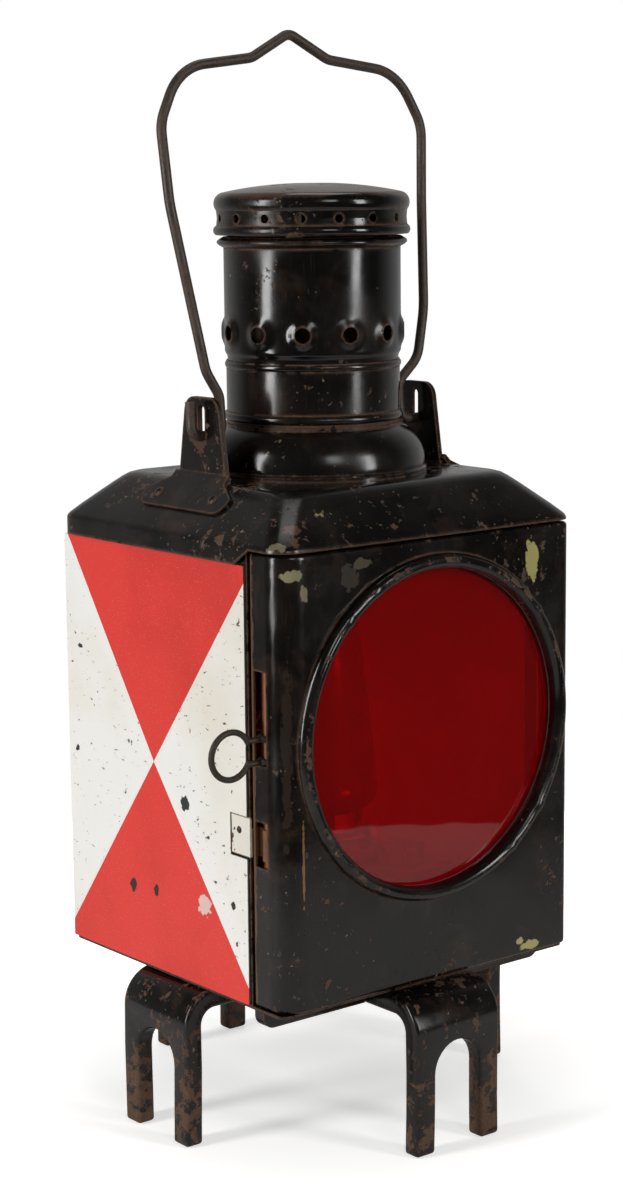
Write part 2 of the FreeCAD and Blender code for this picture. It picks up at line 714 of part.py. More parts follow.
def make_keeper():
    """Leaf on the case wall that turns in past the rim and carries the keeper barrel."""
    z0, z1 = keeper_z0, keeper_z1
    t = 1.0
    barrel_r = 3.5 - free_gap
    web_x0, web_x1 = latch_x - t / 2, latch_x + t / 2
    turn_y = case_front - 0.2
    leaf = box(-half_w - t, -half_w, turn_y - t, case_front + 13.5, z0 + 1, z1 + 5)
    turn = box(-half_w - t, web_x1, turn_y - t, turn_y, z0 + 1, z1)
    web = box(web_x0, web_x1, latch_y, turn_y, z0 + 1, z1)
    barrel = rod(barrel_r, V(latch_x, latch_y, z0), V(latch_x, latch_y, z1))
    bore = rod(latch_rod_r + run_clear, V(latch_x, latch_y, z0 - 1), V(latch_x, latch_y, z1 + 1))
    return leaf.fuse([turn, web, barrel]).cut(bore).removeSplitter()


def rivet_head(place, out, radius):
    """Low domed rivet head standing on a face."""
    ball_r = radius * 1.25
    drop = math.sqrt(ball_r ** 2 - radius ** 2)
    ball = Part.makeSphere(ball_r, place - out * drop)
    return ball.common(rod(radius + 1, place, place + out * radius))


keep("bolt_rod", make_rod())
keep("ring_pull", make_ring_pull())
keep("keeper_leaf", make_keeper())
keep("keeper_rivet", rivet_head(V(-half_w - 1.0, case_front + 7.4, (keeper_z0 + keeper_z1) / 2 + 5.5),
                                V(-1, 0, 0), 1.8))


# ---------------------------------------------------------------- hinges
def knuckle(z0, z1):
    bore_r = hinge_pin_r + run_clear
    return tube(hinge_r, bore_r, V(hinge_x, hinge_y, z0), V(hinge_x, hinge_y, z1))


def hinge_bands(z):
    """Heights of the three knuckles: case, door, case."""
    third = hinge_height / 3
    gap = free_gap / 2
    return [(z, z + third - gap), (z + third + gap, z + 2 * third - gap),
            (z + 2 * third + gap, z + hinge_height)]


def make_case_leaf(z):
    """Leaf on the case wall with the outer two knuckles."""
    t = 1.0
    x0, x1 = half_w, half_w + t
    bands = hinge_bands(z)
    leaf = box(x0, x1, hinge_y + hinge_r + free_gap, case_front + 17.5, z, z + hinge_height)
    for z0, z1 in (bands[0], bands[2]):
        web = prism([V(x0, case_front + 0.5, z0), V(x0, case_front + 5, z0), V(x1, case_front + 5, z0),
                     V(hinge_x + 1, hinge_y + hinge_r - 0.3, z0), V(hinge_x, hinge_y + 1, z0),
                     V(x1, case_front + 0.2, z0)], V(0, 0, z1 - z0))
        web = web.cut(rod(hinge_pin_r + run_clear, V(hinge_x, hinge_y, z0), V(hinge_x, hinge_y, z1)))
        leaf = leaf.fuse([web, knuckle(z0, z1)])
    return leaf.removeSplitter()


def make_door_leaf(z):
    """Leaf on the door flange with the middle knuckle."""
    t = 1.0
    x0, x1 = door_half, door_half + t
    y_far = door_back - 20
    leaf = box(x0, x1, y_far, hinge_y - hinge_r - free_gap, z, z + hinge_height)
    z0, z1 = hinge_bands(z)[1]
    web = prism([V(x0, hinge_y - hinge_r - 3, z0), V(x1, hinge_y - hinge_r - 3, z0),
                 V(hinge_x + 1, hinge_y - hinge_r + 0.3, z0), V(hinge_x, hinge_y - 1, z0),
                 V(x0, hinge_y - 2, z0)], V(0, 0, z1 - z0))
    web = web.cut(rod(hinge_pin_r + run_clear, V(hinge_x, hinge_y, z0), V(hinge_x, hinge_y, z1)))
    return leaf.fuse([web, knuckle(z0, z1)]).removeSplitter()


def make_hinge_pin(z):
    head = 1.4
    gap = free_gap / 2
    pin = rod(hinge_pin_r, V(hinge_x, hinge_y, z - gap), V(hinge_x, hinge_y, z + hinge_height + gap))
    low = rod(hinge_pin_r + 0.8, V(hinge_x, hinge_y, z - gap - head), V(hinge_x, hinge_y, z - gap))
    high = rod(hinge_pin_r + 0.8, V(hinge_x, hinge_y, z + hinge_height + gap),
               V(hinge_x, hinge_y, z + hinge_height + gap + head))
    return pin.fuse([low, high]).removeSplitter()


case_leaf_rivets, door_leaf_rivets = [], []
for word, z in hinge_spots.items():
    keep("hinge_leaf_case_" + word, make_case_leaf(z))
    keep("hinge_leaf_door_" + word, make_door_leaf(z))
    keep("hinge_pin_" + word, make_hinge_pin(z))
    for dz in (hinge_height * 0.2, hinge_height * 0.8):
        case_leaf_rivets.append(rivet_head(V(half_w + 1, case_front + 11, z + dz), X, 1.8))
        door_leaf_rivets.append(rivet_head(V(door_half + 1, door_back - 12, z + dz), X, 1.8))
keep("hinge_rivets_case", Part.makeCompound(case_leaf_rivets))
keep("hinge_rivets_door", Part.makeCompound(door_leaf_rivets))


# ---------------------------------------------------------------- fork feet
def make_fork(reach, length):
    """Flat bar bent down from under the floor, with a round-topped slot in the leg.
    Built towards +X with its outer face at the given reach."""
    z1 = floor_bottom
    z0 = z1 - fork_wall
    ri, ro = fork_bend, fork_bend + fork_wall
    xo, xi = reach, reach - fork_wall
    start = reach - length
    k = math.sqrt(0.5)
    cx, cz = xi - ri, z0 - ri
    outline = [Part.LineSegment(V(start, 0, z1), V(cx, 0, z1)).toShape(),
               Part.Arc(V(cx, 0, z1), V(cx + ro * k, 0, cz + ro * k), V(xo, 0, cz)).toShape(),
               Part.LineSegment(V(xo, 0, cz), V(xo, 0, 0)).toShape(),
               Part.LineSegment(V(xo, 0, 0), V(xi, 0, 0)).toShape(),
               Part.LineSegment(V(xi, 0, 0), V(xi, 0, cz)).toShape(),
               Part.Arc(V(xi, 0, cz), V(cx + ri * k, 0, cz + ri * k), V(cx, 0, z0)).toShape(),
               Part.LineSegment(V(cx, 0, z0), V(start, 0, z0)).toShape(),
               Part.LineSegment(V(start, 0, z0), V(start, 0, z1)).toShape()]
    bar = Part.Face(Part.Wire(outline)).extrude(V(0, fork_width, 0))
    bar.translate(V(0, -fork_width / 2, 0))
    slot_r = fork_slot / 2
    slot = box(xi - 2, xo + 2, -slot_r, slot_r, -1, fork_slot_top - slot_r)
    slot = slot.fuse(rod(slot_r, V(xi - 2, 0, fork_slot_top - slot_r), V(xo + 2, 0, fork_slot_top - slot_r)))
    bar = bar.cut(slot)
    tips = [e for e in bar.Edges if len(e.Vertexes) == 2
            and abs(e.Vertexes[0].Z) < 1e-6 and abs(e.Vertexes[1].Z) < 1e-6]
    bar = bar.makeChamfer(1.0, tips)
    return bar


fork_arm = fork_inner + fork_bend + fork_wall
forks = {"fork_right": (fork_x, 0), "fork_back": (fork_y, 90),
         "fork_left": (fork_x, 180), "fork_front": (fork_y, 270)}
rivets = []
for name, (reach, turn) in forks.items():
    fork = make_fork(reach, fork_arm)
    fork.rotate(V(0, 0, 0), Z, turn)
    keep(name, fork)
    for y in (-15, 15):
        spot = V(reach - fork_arm + 14, y, floor_bottom - fork_wall)
        head = rivet_head(spot, V(0, 0, -1), 4.5)
        head.rotate(V(0, 0, 0), Z, turn)
        rivets.append(head)
keep("fork_rivets", Part.makeCompound(rivets))


# ---------------------------------------------------------------- oil tank and burner
tank_y0 = -46.0
filler_x, filler_y = 34.0, -26.0
neck_r = 9.0


def make_tank():
    """Flat oil tank with a filler neck, a burner seat and a hollow inside."""
    hx, y0, y1 = tank_width / 2, tank_y0, tank_y0 + tank_depth
    w = tank_wall
    tank = rounded_block(-hx, hx, y0, y1, tank_bottom, tank_top, 10)
    hollow = rounded_block(-hx + w, hx - w, y0 + w, y1 - w, tank_bottom + w, tank_top - w, 10 - w)
    neck = tube(neck_r, neck_r - 1.2, V(filler_x, filler_y, tank_top), V(filler_x, filler_y, tank_top + 7))
    tank = tank.cut(hollow).fuse(neck)
    tank = tank.cut(rod(neck_r - 1.2, V(filler_x, filler_y, tank_top - 3), V(filler_x, filler_y, tank_top + 1)))
    return tank.cut(rod(burner_r - 2, V(0, 0, tank_top - 3), V(0, 0, tank_top + 1))).removeSplitter()


def make_rails():
    """Two angle rails on the floor that the tank stands between."""
    rails = []
    gap = free_gap
    for side in (-1, 1):
        x0, x1 = sorted((side * (tank_width / 2 + gap), side * (tank_width / 2 + gap + 1.2)))
        wall = box(x0, x1, tank_y0 + 10, tank_y0 + 90, floor_top, floor_top + 12)
        fx0, fx1 = sorted((side * (tank_width / 2 + gap), side * (tank_width / 2 + gap + 12)))
        rails.append(wall.fuse(box(fx0, fx1, tank_y0 + 10, tank_y0 + 90, floor_top, floor_top + 1.2)))
    return Part.makeCompound([r.removeSplitter() for r in rails])


def make_filler_cap():
    """Knurled screw cap over the filler neck."""
    outer = neck_r + 2.4
    z0 = tank_top + 1.0
    top = tank_top + 7 + free_gap
    cap = rod(outer, V(filler_x, filler_y, z0), V(filler_x, filler_y, top + 2.5))
    cap = cap.cut(rod(neck_r + run_clear, V(filler_x, filler_y, z0 - 1), V(filler_x, filler_y, top)))
    flutes = 20
    for i in range(flutes):
        a = math.radians(i * 360 / flutes)
        place = V(filler_x + (outer + 0.5) * math.cos(a), filler_y + (outer + 0.5) * math.sin(a), z0 - 1)
        cap = cap.cut(Part.makeCylinder(1.0, 12, place))
    return cap


burner_z0 = tank_top
burner_z1 = burner_z0 + 20
spindle_z = burner_z0 + 11
wheel_r = 3.6
spindle_r = 1.4
spindle_y = -(wick_wall / 2 + 0.25 + wheel_r)
wick_room = 0.3


def make_burner():
    """Brass burner: screwed foot, draught chamber and flat wick tube."""
    foot = spun([(burner_r - 2.2, burner_z0), (burner_r + 3, burner_z0), (burner_r + 3, burner_z0 + 3),
                 (burner_r, burner_z0 + 4), (burner_r, burner_z1), (burner_r - 1, burner_z1),
                 (burner_r - 1, burner_z0 + 3.5), (burner_r - 2.2, burner_z0 + 2.5)])
    deck = rod(burner_r, V(0, 0, burner_z1), V(0, 0, burner_z1 + 1))
    hx, hy = wick_width / 2 + wick_room, wick_wall / 2 + wick_room
    sleeve = box(-hx - 0.7, hx + 0.7, -hy - 0.7, hy + 0.7, burner_z0 + 3, burner_z1 + 10)
    room = box(-hx, hx, -hy, hy, burner_z0 - 5, burner_z1 + 20)
    window = box(-7.6, 7.6, spindle_y - wheel_r - 0.4, -hy + 0.4, spindle_z - wheel_r - 0.5,
                 spindle_z + wheel_r + 0.5)
    burner = foot.fuse([deck, sleeve]).cut(room).cut(window)
    bore = rod(spindle_r + run_clear, V(9, spindle_y, spindle_z), V(burner_r + 3, spindle_y, spindle_z))
    burner = burner.cut(bore)
    air_holes = range(1, 11)      # none beside the spindle
    for i in air_holes:
        a = math.radians(i * 30 + 15)
        out = V(math.cos(a), math.sin(a), 0)
        burner = burner.cut(rod(1.3, out * (burner_r - 3) + V(0, 0, burner_z1 - 3.5),
                                out * (burner_r + 3) + V(0, 0, burner_z1 - 3.5)))
    return burner.removeSplitter()


def make_gallery():
    """Spring gallery that holds the lamp glass."""
    z = burner_z1 + 1
    ring = tube(24.0, burner_r - 1, V(0, 0, z), V(0, 0, z + 1))
    wall = tube(24.0, 23.2, V(0, 0, z), V(0, 0, z + 9))
    for i in range(8):
        gap = box(18, 30, -3, 3, z + 2, z + 12)
        gap.rotate(V(0, 0, 0), Z, 45 * i + 22.5)
        wall = wall.cut(gap)
    return ring.fuse(wall).removeSplitter()


def make_lamp_glass():
    """Clear glass chimney: narrow foot, full belly and a tapering neck."""
    z = burner_z1 + 2
    w = glass_wall
    return spun([(22.6, z), (22.6, z + 8), ("arc", (29.5, z + 13), (30.5, z + 22)),
                 ("arc", (27.0, z + 62), (20.0, z + 118)), (20.0 - w, z + 118),
                 ("arc", (27.0 - w, z + 62), (30.5 - w, z + 22)),
                 ("arc", (29.5 - w, z + 13.6), (22.6 - w, z + 8.6)), (22.6 - w, z)])


def make_spindle():
    """Wick spindle with two spur wheels."""
    shaft = rod(spindle_r, V(-7, spindle_y, spindle_z), V(31, spindle_y, spindle_z))
    teeth = 14
    wheels = []
    for x0 in (-6.0, 3.6):
        wheel = rod(wheel_r, V(x0, spindle_y, spindle_z), V(x0 + 2.4, spindle_y, spindle_z))
        for i in range(teeth):
            a = math.radians(i * 360 / teeth)
            spot = V(x0 - 1, spindle_y + (wheel_r + 0.1) * math.cos(a), spindle_z + (wheel_r + 0.1) * math.sin(a))
            wheel = wheel.cut(Part.makeCylinder(0.45, 5, spot, X))
        wheels.append(wheel)
    return shaft.fuse(wheels).removeSplitter()


def make_wick_knob():
    """Milled thumb wheel on the end of the spindle."""
    knob = rod(7.0, V(27, spindle_y, spindle_z), V(31, spindle_y, spindle_z))
    knob = knob.cut(rod(spindle_r, V(26, spindle_y, spindle_z), V(32, spindle_y, spindle_z)))
    flutes = 18
    for i in range(flutes):
        a = math.radians(i * 360 / flutes)
        spot = V(26, spindle_y + 7.4 * math.cos(a), spindle_z + 7.4 * math.sin(a))
        knob = knob.cut(Part.makeCylinder(0.9, 6, spot, X))
    return knob


def make_wick():
    """Flat woven wick that hangs into the tank."""
    hx, hy = wick_width / 2, wick_wall / 2
    return box(-hx, hx, -hy, hy, tank_bottom + 8, burner_z1 + 10)


keep("oil_tank", make_tank())
keep("tank_rails", make_rails())
keep("filler_cap", make_filler_cap())
keep("burner", make_burner())
keep("glass_gallery", make_gallery())
keep("lamp_glass", make_lamp_glass())
keep("wick_spindle", make_spindle())
keep("wick_knob", make_wick_knob())
keep("wick", make_wick())

for name, shape in made.items():
    if not shape.isValid():
        print("not valid:", name)
print(len(made), "nodes")
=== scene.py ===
import math
import random

import bmesh
import bpy
from mathutils import Matrix, Vector


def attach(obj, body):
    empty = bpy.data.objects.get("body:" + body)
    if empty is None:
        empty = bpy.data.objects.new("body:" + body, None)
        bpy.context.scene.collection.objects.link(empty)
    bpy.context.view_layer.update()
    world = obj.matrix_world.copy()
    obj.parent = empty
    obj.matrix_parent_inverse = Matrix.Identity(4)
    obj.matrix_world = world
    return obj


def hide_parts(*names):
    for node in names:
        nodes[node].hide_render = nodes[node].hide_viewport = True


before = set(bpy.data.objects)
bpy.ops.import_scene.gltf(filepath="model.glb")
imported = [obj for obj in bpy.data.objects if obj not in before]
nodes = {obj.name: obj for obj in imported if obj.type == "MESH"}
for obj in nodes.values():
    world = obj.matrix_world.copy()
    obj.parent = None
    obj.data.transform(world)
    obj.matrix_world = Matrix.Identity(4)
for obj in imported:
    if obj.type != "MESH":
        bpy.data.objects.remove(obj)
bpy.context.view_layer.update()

MM = 0.001

# ---------------------------------------------------------------- case
# The lantern body is a box of 1 mm sheet steel, folded, riveted and enamelled black
# outside, baked hard in a stove. Inside it is brushed with white lamp paint.


def linear(code):
    """An sRGB hex colour as the linear colour a shader takes."""
    parts = [int(code[i:i + 2], 16) / 255 for i in (1, 3, 5)]
    return [c / 12.92 if c < 0.04045 else ((c + 0.055) / 1.055) ** 2.4 for c in parts] + [1.0]


def add(tree, kind, settings=None, links=None):
    """One shader node: a number or a socket's name sets that input, and any other name sets
    the node's own option."""
    made = tree.nodes.new("ShaderNode" + kind)
    for key, value in (settings or {}).items():
        if isinstance(key, int) or key in made.inputs:
            made.inputs[key].default_value = value
        else:
            setattr(made, key, value)
    for key, source in (links or {}).items():
        tree.links.new(source.outputs[0] if hasattr(source, "outputs") else source, made.inputs[key])
    return made


def new_finish(name):
    """An empty material, its tree and the object's own coordinates in metres."""
    made = bpy.data.materials.new(name)
    made.use_nodes = True
    made.node_tree.nodes.clear()
    return made, made.node_tree, add(made.node_tree, "TexCoord").outputs["Object"]


def sealed(tree, settings, links):
    """Ends a material: the Principled shader, joined to the output."""
    shader = add(tree, "BsdfPrincipled", settings, links)
    add(tree, "OutputMaterial", links={"Surface": shader})


def worn_edge(tree, radius_mm, soft=0.82):
    """1 on an outer edge and 0 on a flat, from the angle between the true and a rounded normal."""
    rounded = add(tree, "Bevel", {"samples": 6, "Radius": radius_mm * MM})
    true = add(tree, "NewGeometry")
    turn = add(tree, "VectorMath", {"operation": "DOT_PRODUCT"}, {0: rounded, 1: true.outputs["Normal"]})
    return add(tree, "MapRange", {"From Min": 0.995, "From Max": soft}, {"Value": turn.outputs["Value"]})


def patched(tree, place, colour, patches, noise, raggedness, reach):
    """The colour with patches of another laid over it: each is (place, half size, colour) in mm, an
    ellipsoid whose edge the noise makes ragged."""
    for spot, size, shade in patches:
        off = add(tree, "VectorMath", {"operation": "SUBTRACT", 1: [v * MM for v in spot]}, {0: place})
        off = add(tree, "VectorMath", {"operation": "DIVIDE", 1: [v * MM for v in size]}, {0: off})
        off = add(tree, "VectorMath", {"operation": "LENGTH"}, {0: off})
        ragged = add(tree, "Math", {"operation": "MULTIPLY_ADD", 1: raggedness},
                     {0: noise, 2: off.outputs["Value"]})
        here = add(tree, "Math", {"operation": "LESS_THAN", 1: reach}, {0: ragged})
        colour = add(tree, "Mix", {"data_type": "RGBA", 7: linear(shade)}, {0: here, 6: colour}).outputs[2]
    return colour


def stoving_enamel(name, chips, room=None, old_paint_and_highlights=(), rust_below=None, rubbed_ring=None,
                   rained_above=None):
    """Black stoving enamel on sheet steel: baked gloss paint, IOR 1.5, with rust where edges and knocks
    have broken it, more of it the larger chips is. Sizes are in mm. room is the box (low, high) inside
    which the sheet is painted white, and the listed patches show an older coat or bare rust, or a
    painted highlight along a lit edge.
    Below the height rust_below, damp and knocks have taken more of it the lower it is. rubbed_ring is a
    raised ring facing forward, (x, z, radius), whose crest is rubbed through, and rain has browned the
    paint above the height rained_above."""
    made, tree, place = new_finish(name)
    edge = worn_edge(tree, 2.4, 0.88)
    # chips are 1 to 6 mm across with nibbled edges, and gather on the edges
    broken = add(tree, "TexNoise", {"Scale": 1 / (7 * MM), "Detail": 11, "Roughness": 0.7}, {"Vector": place})
    patch = add(tree, "TexNoise", {"Scale": 1 / (55 * MM), "Detail": 2}, {"Vector": place})
    gathered = add(tree, "Math", {"operation": "MULTIPLY_ADD", 1: 0.24}, {0: edge, 2: broken})
    gathered = add(tree, "Math", {"operation": "MULTIPLY_ADD", 1: 0.35}, {0: patch, 2: gathered})
    if rust_below:
        low = add(tree, "SeparateXYZ", links={0: place})
        low = add(tree, "MapRange", {"From Min": rust_below * MM, "From Max": 0.0, "To Max": 0.14},
                  {"Value": low.outputs[2]})
        gathered = add(tree, "Math", {"operation": "ADD"}, {0: gathered, 1: low})
    if rubbed_ring:
        x, z, radius = (v * MM for v in rubbed_ring)
        off = add(tree, "VectorMath", {"operation": "MULTIPLY_ADD", 1: (1, 0, 1), 2: (-x, 0, -z)}, {0: place})
        off = add(tree, "VectorMath", {"operation": "LENGTH"}, {0: off})
        crest = add(tree, "Math", {"operation": "COMPARE", 1: radius, 2: 1.3 * MM}, {0: off.outputs["Value"]})
        gathered = add(tree, "Math", {"operation": "MULTIPLY_ADD", 1: 0.1}, {0: crest, 2: gathered})
    chip = add(tree, "MapRange", {"From Min": 0.885 - 0.1 * chips, "From Max": 0.905 - 0.1 * chips},
               {"Value": gathered})
    # handling haze, 20 to 60 mm patches
    haze = add(tree, "TexNoise", {"Scale": 1 / (38 * MM), "Detail": 5, "Roughness": 0.6}, {"Vector": place})
    hazed = add(tree, "MapRange", {"From Min": 0.38, "From Max": 0.72}, {"Value": haze})
    # fine rub marks, drawn 0.5 mm wide so that they show
    stretched = add(tree, "Mapping", {"Scale": (1400, 1400, 60)}, {"Vector": place})
    rubs = add(tree, "TexNoise", {"Scale": 1.0, "Detail": 2}, {"Vector": stretched})
    rubbed = add(tree, "MapRange", {"From Min": 0.62, "From Max": 0.72, "To Max": 0.5}, {"Value": rubs})
    black = add(tree, "Mix", {"data_type": "RGBA", 6: linear("#090807"), 7: linear("#1c1611")}, {0: hazed})
    black = add(tree, "Mix", {"data_type": "RGBA", 7: linear("#2f2a25")}, {0: rubbed, 6: black.outputs[2]})
    # brown handling stain in 30 mm clouds, and pale pin-head knocks 1 mm across
    stain = add(tree, "TexNoise", {"Scale": 1 / (31 * MM), "Detail": 7, "Roughness": 0.7, "Distortion": 0.4},
                {"Vector": place})
    stain = add(tree, "MapRange", {"From Min": 0.55, "From Max": 0.74, "To Max": 0.35 + 0.5 * chips},
                {"Value": stain})
    black = add(tree, "Mix", {"data_type": "RGBA", 7: linear("#3b2c20")}, {0: stain, 6: black.outputs[2]})
    if rained_above:
        high = add(tree, "SeparateXYZ", links={0: place})
        high = add(tree, "MapRange", {"From Min": (rained_above - 3) * MM, "From Max": rained_above * MM,
                                      "To Max": 0.3}, {"Value": high.outputs[2]})
        high = add(tree, "Math", {"operation": "ADD"}, {0: high, 1: haze})
        high = add(tree, "MapRange", {"From Min": 0.62, "From Max": 0.85, "To Max": 0.85}, {"Value": high})
        black = add(tree, "Mix", {"data_type": "RGBA", 7: linear("#5e483a")}, {0: high, 6: black.outputs[2]})
    pin = add(tree, "TexNoise", {"Scale": 1 / (3.1 * MM), "Detail": 3, "Roughness": 0.6}, {"Vector": place})
    pin = add(tree, "Math", {"operation": "MULTIPLY_ADD", 1: 0.35}, {0: patch, 2: pin})
    pin = add(tree, "MapRange", {"From Min": 0.905 - 0.04 * chips, "From Max": 0.935 - 0.04 * chips,
                                 "To Max": 0.8}, {"Value": pin})
    black = add(tree, "Mix", {"data_type": "RGBA", 7: linear("#80705c")}, {0: pin, 6: black.outputs[2]})
    speck = add(tree, "TexNoise", {"Scale": 1 / (1.6 * MM), "Detail": 4}, {"Vector": place})
    rust = add(tree, "Mix", {"data_type": "RGBA", 6: linear("#2e2119"), 7: linear("#74543c")}, {0: speck})
    tint = add(tree, "Mix", {"data_type": "RGBA"}, {0: chip, 6: black.outputs[2], 7: rust.outputs[2]})
    rough = add(tree, "MapRange", {"To Min": 0.13, "To Max": 0.33}, {"Value": hazed})
    rough = add(tree, "Mix", {3: 0.8}, {0: chip, 2: rough})
    colour, dull = patched(tree, place, tint.outputs[2], old_paint_and_highlights, broken, 2.6, 2.1), rough.outputs[0]
    if room:
        middle = [(a + b) / 2 * MM for a, b in zip(*room)]
        half = [(b - a) / 2 * MM for a, b in zip(*room)]
        off = add(tree, "VectorMath", {"operation": "SUBTRACT", 1: middle}, {0: place})
        off = add(tree, "VectorMath", {"operation": "ABSOLUTE"}, {0: off})
        off = add(tree, "VectorMath", {"operation": "DIVIDE", 1: half}, {0: off})
        off = add(tree, "SeparateXYZ", links={0: off})
        most = add(tree, "Math", {"operation": "MAXIMUM"}, {0: off.outputs[0], 1: off.outputs[1]})
        most = add(tree, "Math", {"operation": "MAXIMUM"}, {0: most, 1: off.outputs[2]})
        within = add(tree, "Math", {"operation": "LESS_THAN", 1: 1.0}, {0: most})
        white, cream = linear("#f4f0e6"), linear("#d9cfb8")
        paint = add(tree, "Mix", {"data_type": "RGBA", 6: white, 7: cream}, {0: hazed})
        colour = add(tree, "Mix", {"data_type": "RGBA"}, {0: within, 6: colour, 7: paint.outputs[2]})
        colour = colour.outputs[2]
        dull = add(tree, "Mix", {3: 0.55}, {0: within, 2: dull}).outputs[0]
    # the sheet is never flat: shallow waves 45 mm long, then the paint's own skin, then the chips' depth
    wave = add(tree, "TexNoise", {"Scale": 1 / (45 * MM), "Detail": 1}, {"Vector": place})
    bent = add(tree, "Bump", {"Strength": 1.0, "Distance": 0.9 * MM}, {"Height": wave})
    skin = add(tree, "TexNoise", {"Scale": 1 / (1.4 * MM), "Detail": 2}, {"Vector": place})
    bent = add(tree, "Bump", {"Strength": 0.6, "Distance": 0.02 * MM}, {"Height": skin, "Normal": bent})
    bent = add(tree, "Bump", {"Strength": 1.0, "Distance": 0.12 * MM, "invert": True},
               {"Height": chip, "Normal": bent})
    sealed(tree, {"IOR": 1.5}, {"Base Color": colour, "Roughness": dull, "Normal": bent})
    return made


def dress(finish, *names):
    """Gives CAD nodes this finish."""
    for name in names:
        nodes[name].data.materials.clear()
        nodes[name].data.materials.append(finish)


case_front = -64.0
white_room = ((-91.5, -62.8, 79.4), (91.5, 88.5, 320.0))
case_enamel = stoving_enamel("black_stoving_enamel_case", 0.35, white_room)
dress(case_enamel, "case_shell", "floor_pan", "door_sill")

# ---------------------------------------------------------------- roof
# One pressing of sheet steel: flat crown, four slopes that roll over into a short hemmed
# skirt, and no skirt along the door. It is spot-welded to the case and enamelled with it.


def settle(name, bm, body, finishes, thickness=None, smooth_angle=38):
    """Turns a bmesh in metres into a piece on its body, with its wall, its hard edges and its finishes:
    the first outside and, where there is a second, that one inside."""
    mesh = bpy.data.meshes.new(name)
    bmesh.ops.recalc_face_normals(bm, faces=bm.faces[:])
    bm.to_mesh(mesh)
    bm.free()
    for face in mesh.polygons:
        face.use_smooth = True
    piece = bpy.data.objects.new(name, mesh)
    bpy.context.scene.collection.objects.link(piece)
    for finish in finishes:
        mesh.materials.append(finish)
    if thickness:
        wall = piece.modifiers.new("wall", "SOLIDIFY")
        wall.thickness = thickness
        wall.offset = -1
        wall.use_even_offset = True
        wall.material_offset = len(finishes) - 1
    hard = piece.modifiers.new("hard_edges", "EDGE_SPLIT")
    hard.split_angle = math.radians(smooth_angle)
    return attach(piece, body)


def round_box_ring(x0, x1, y0, y1, corner, per_corner=10, per_side=14):
    """Points of a rounded rectangle, always the same number, so that rings join face to face."""
    points = []
    for cx, cy, start in ((x1 - corner, y0 + corner, -90), (x1 - corner, y1 - corner, 0),
                          (x0 + corner, y1 - corner, 90), (x0 + corner, y0 + corner, 180)):
        for i in range(per_corner + 1):
            a = math.radians(start + 90 * i / per_corner)
            points.append(Vector((cx + corner * math.cos(a), cy + corner * math.sin(a))))
        corner_end = points[-1]
        a = math.radians(start + 90)
        length = (x1 - x0 if start in (0, 180) else y1 - y0) - 2 * corner
        along = Vector((-math.sin(a), math.cos(a)))
        points += [corner_end + along * length * i / per_side for i in range(1, per_side)]
    return points


hood_half, hood_front, hood_back, hood_corner = 94.5, -91.5, 91.5, 12.0
skirt_low, hood_base, hood_top, mouth_r = 293.0, 301.0, 325.0, 44.0
# each level is (how far it has drawn in, height): the skirt, a roll of 3 mm radius, then the slope,
# which eases over into the crown
levels = [(0.0, skirt_low), (0.0, skirt_low + 4.0)]
levels += [(1.6 * (i / 6) * (i / 6), hood_base + 3.2 * (i / 6)) for i in range(7)]
levels += [(5.5, hood_base + 7.2), (11.0, hood_base + 12.4), (16.5, hood_base + 17.6),
           (20.5, hood_base + 21.2), (22.8, hood_base + 22.9), (25.5, hood_base + 23.8), (28.5, hood_top)]
roof = bmesh.new()
rings = []
for inset, z in levels:
    ring = []
    for p in round_box_ring(-hood_half + inset, hood_half - inset, hood_front + inset, hood_back - inset,
                            hood_corner):
        low = z
        # over the door the skirt is only a fold just under the slope
        if z < hood_base and p.y < case_front - 0.4:
            low = hood_base - 0.3 + (z - skirt_low) * 0.05
        ring.append(roof.verts.new((p.x * MM, p.y * MM, low * MM)))
    rings.append(ring)
for ring_r in (60.0, 52.0, mouth_r):
    ring = []
    for v in rings[-1]:
        way = Vector((v.co.x, v.co.y)).normalized()
        ring.append(roof.verts.new((way.x * ring_r * MM, way.y * ring_r * MM, hood_top * MM)))
    rings.append(ring)
for low_ring, high_ring in zip(rings, rings[1:]):
    count = len(low_ring)
    for i in range(count):
        roof.faces.new((low_ring[i], low_ring[(i + 1) % count], high_ring[(i + 1) % count], high_ring[i]))
hood_patches = [((-58, -82, 317), (7, 7, 4), "#99925c"), ((-88, -84, 303), (7, 6, 3), "#77705a"),
                ((-80, -84, 312), (5, 5, 5), "#5c3a30")]
hood_enamel = stoving_enamel("black_stoving_enamel_roof", 0.85, old_paint_and_highlights=hood_patches)
hood = settle("roof_pressing", roof, "case", [hood_enamel], thickness=1.0 * MM, smooth_angle=50)
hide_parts("roof_hood")

# ---------------------------------------------------------------- door
# A deep pan bent up from 1.2 mm sheet, black enamel outside and white lamp paint inside. A round
# bead is pressed round the lens hole and nipped twice in each of four places; the rear edge is hemmed.


def cut_lines(bm, axis, places):
    """Adds an edge loop across a flat blank at each place along X (0) or Z (2), so that it can bend there."""
    direction = Vector((axis == 0, 0, axis == 2))
    for value in places:
        bmesh.ops.bisect_plane(bm, geom=bm.verts[:] + bm.edges[:] + bm.faces[:], dist=1e-6,
                               plane_co=direction * value * MM, plane_no=direction)


door_half, door_face, door_rear, door_low, door_high = 91.6, -90.0, -66.0, 80.6, 299.5
latch_bend, hinge_bend, rim_bend = 13.0, 4.0, 2.0
lens_x, lens_z, lens_hole, bead_out, bead_height = 2.2, 206.8, 78.0, 85.4, 4.6
bead_foot = bead_out + 1.6
bend_left, bend_right = -door_half + latch_bend, door_half - hinge_bend
flat_left = bend_left - latch_bend * math.pi / 2
flat_right = bend_right + hinge_bend * math.pi / 2
edge_right = flat_right + (door_rear - door_face - hinge_bend)


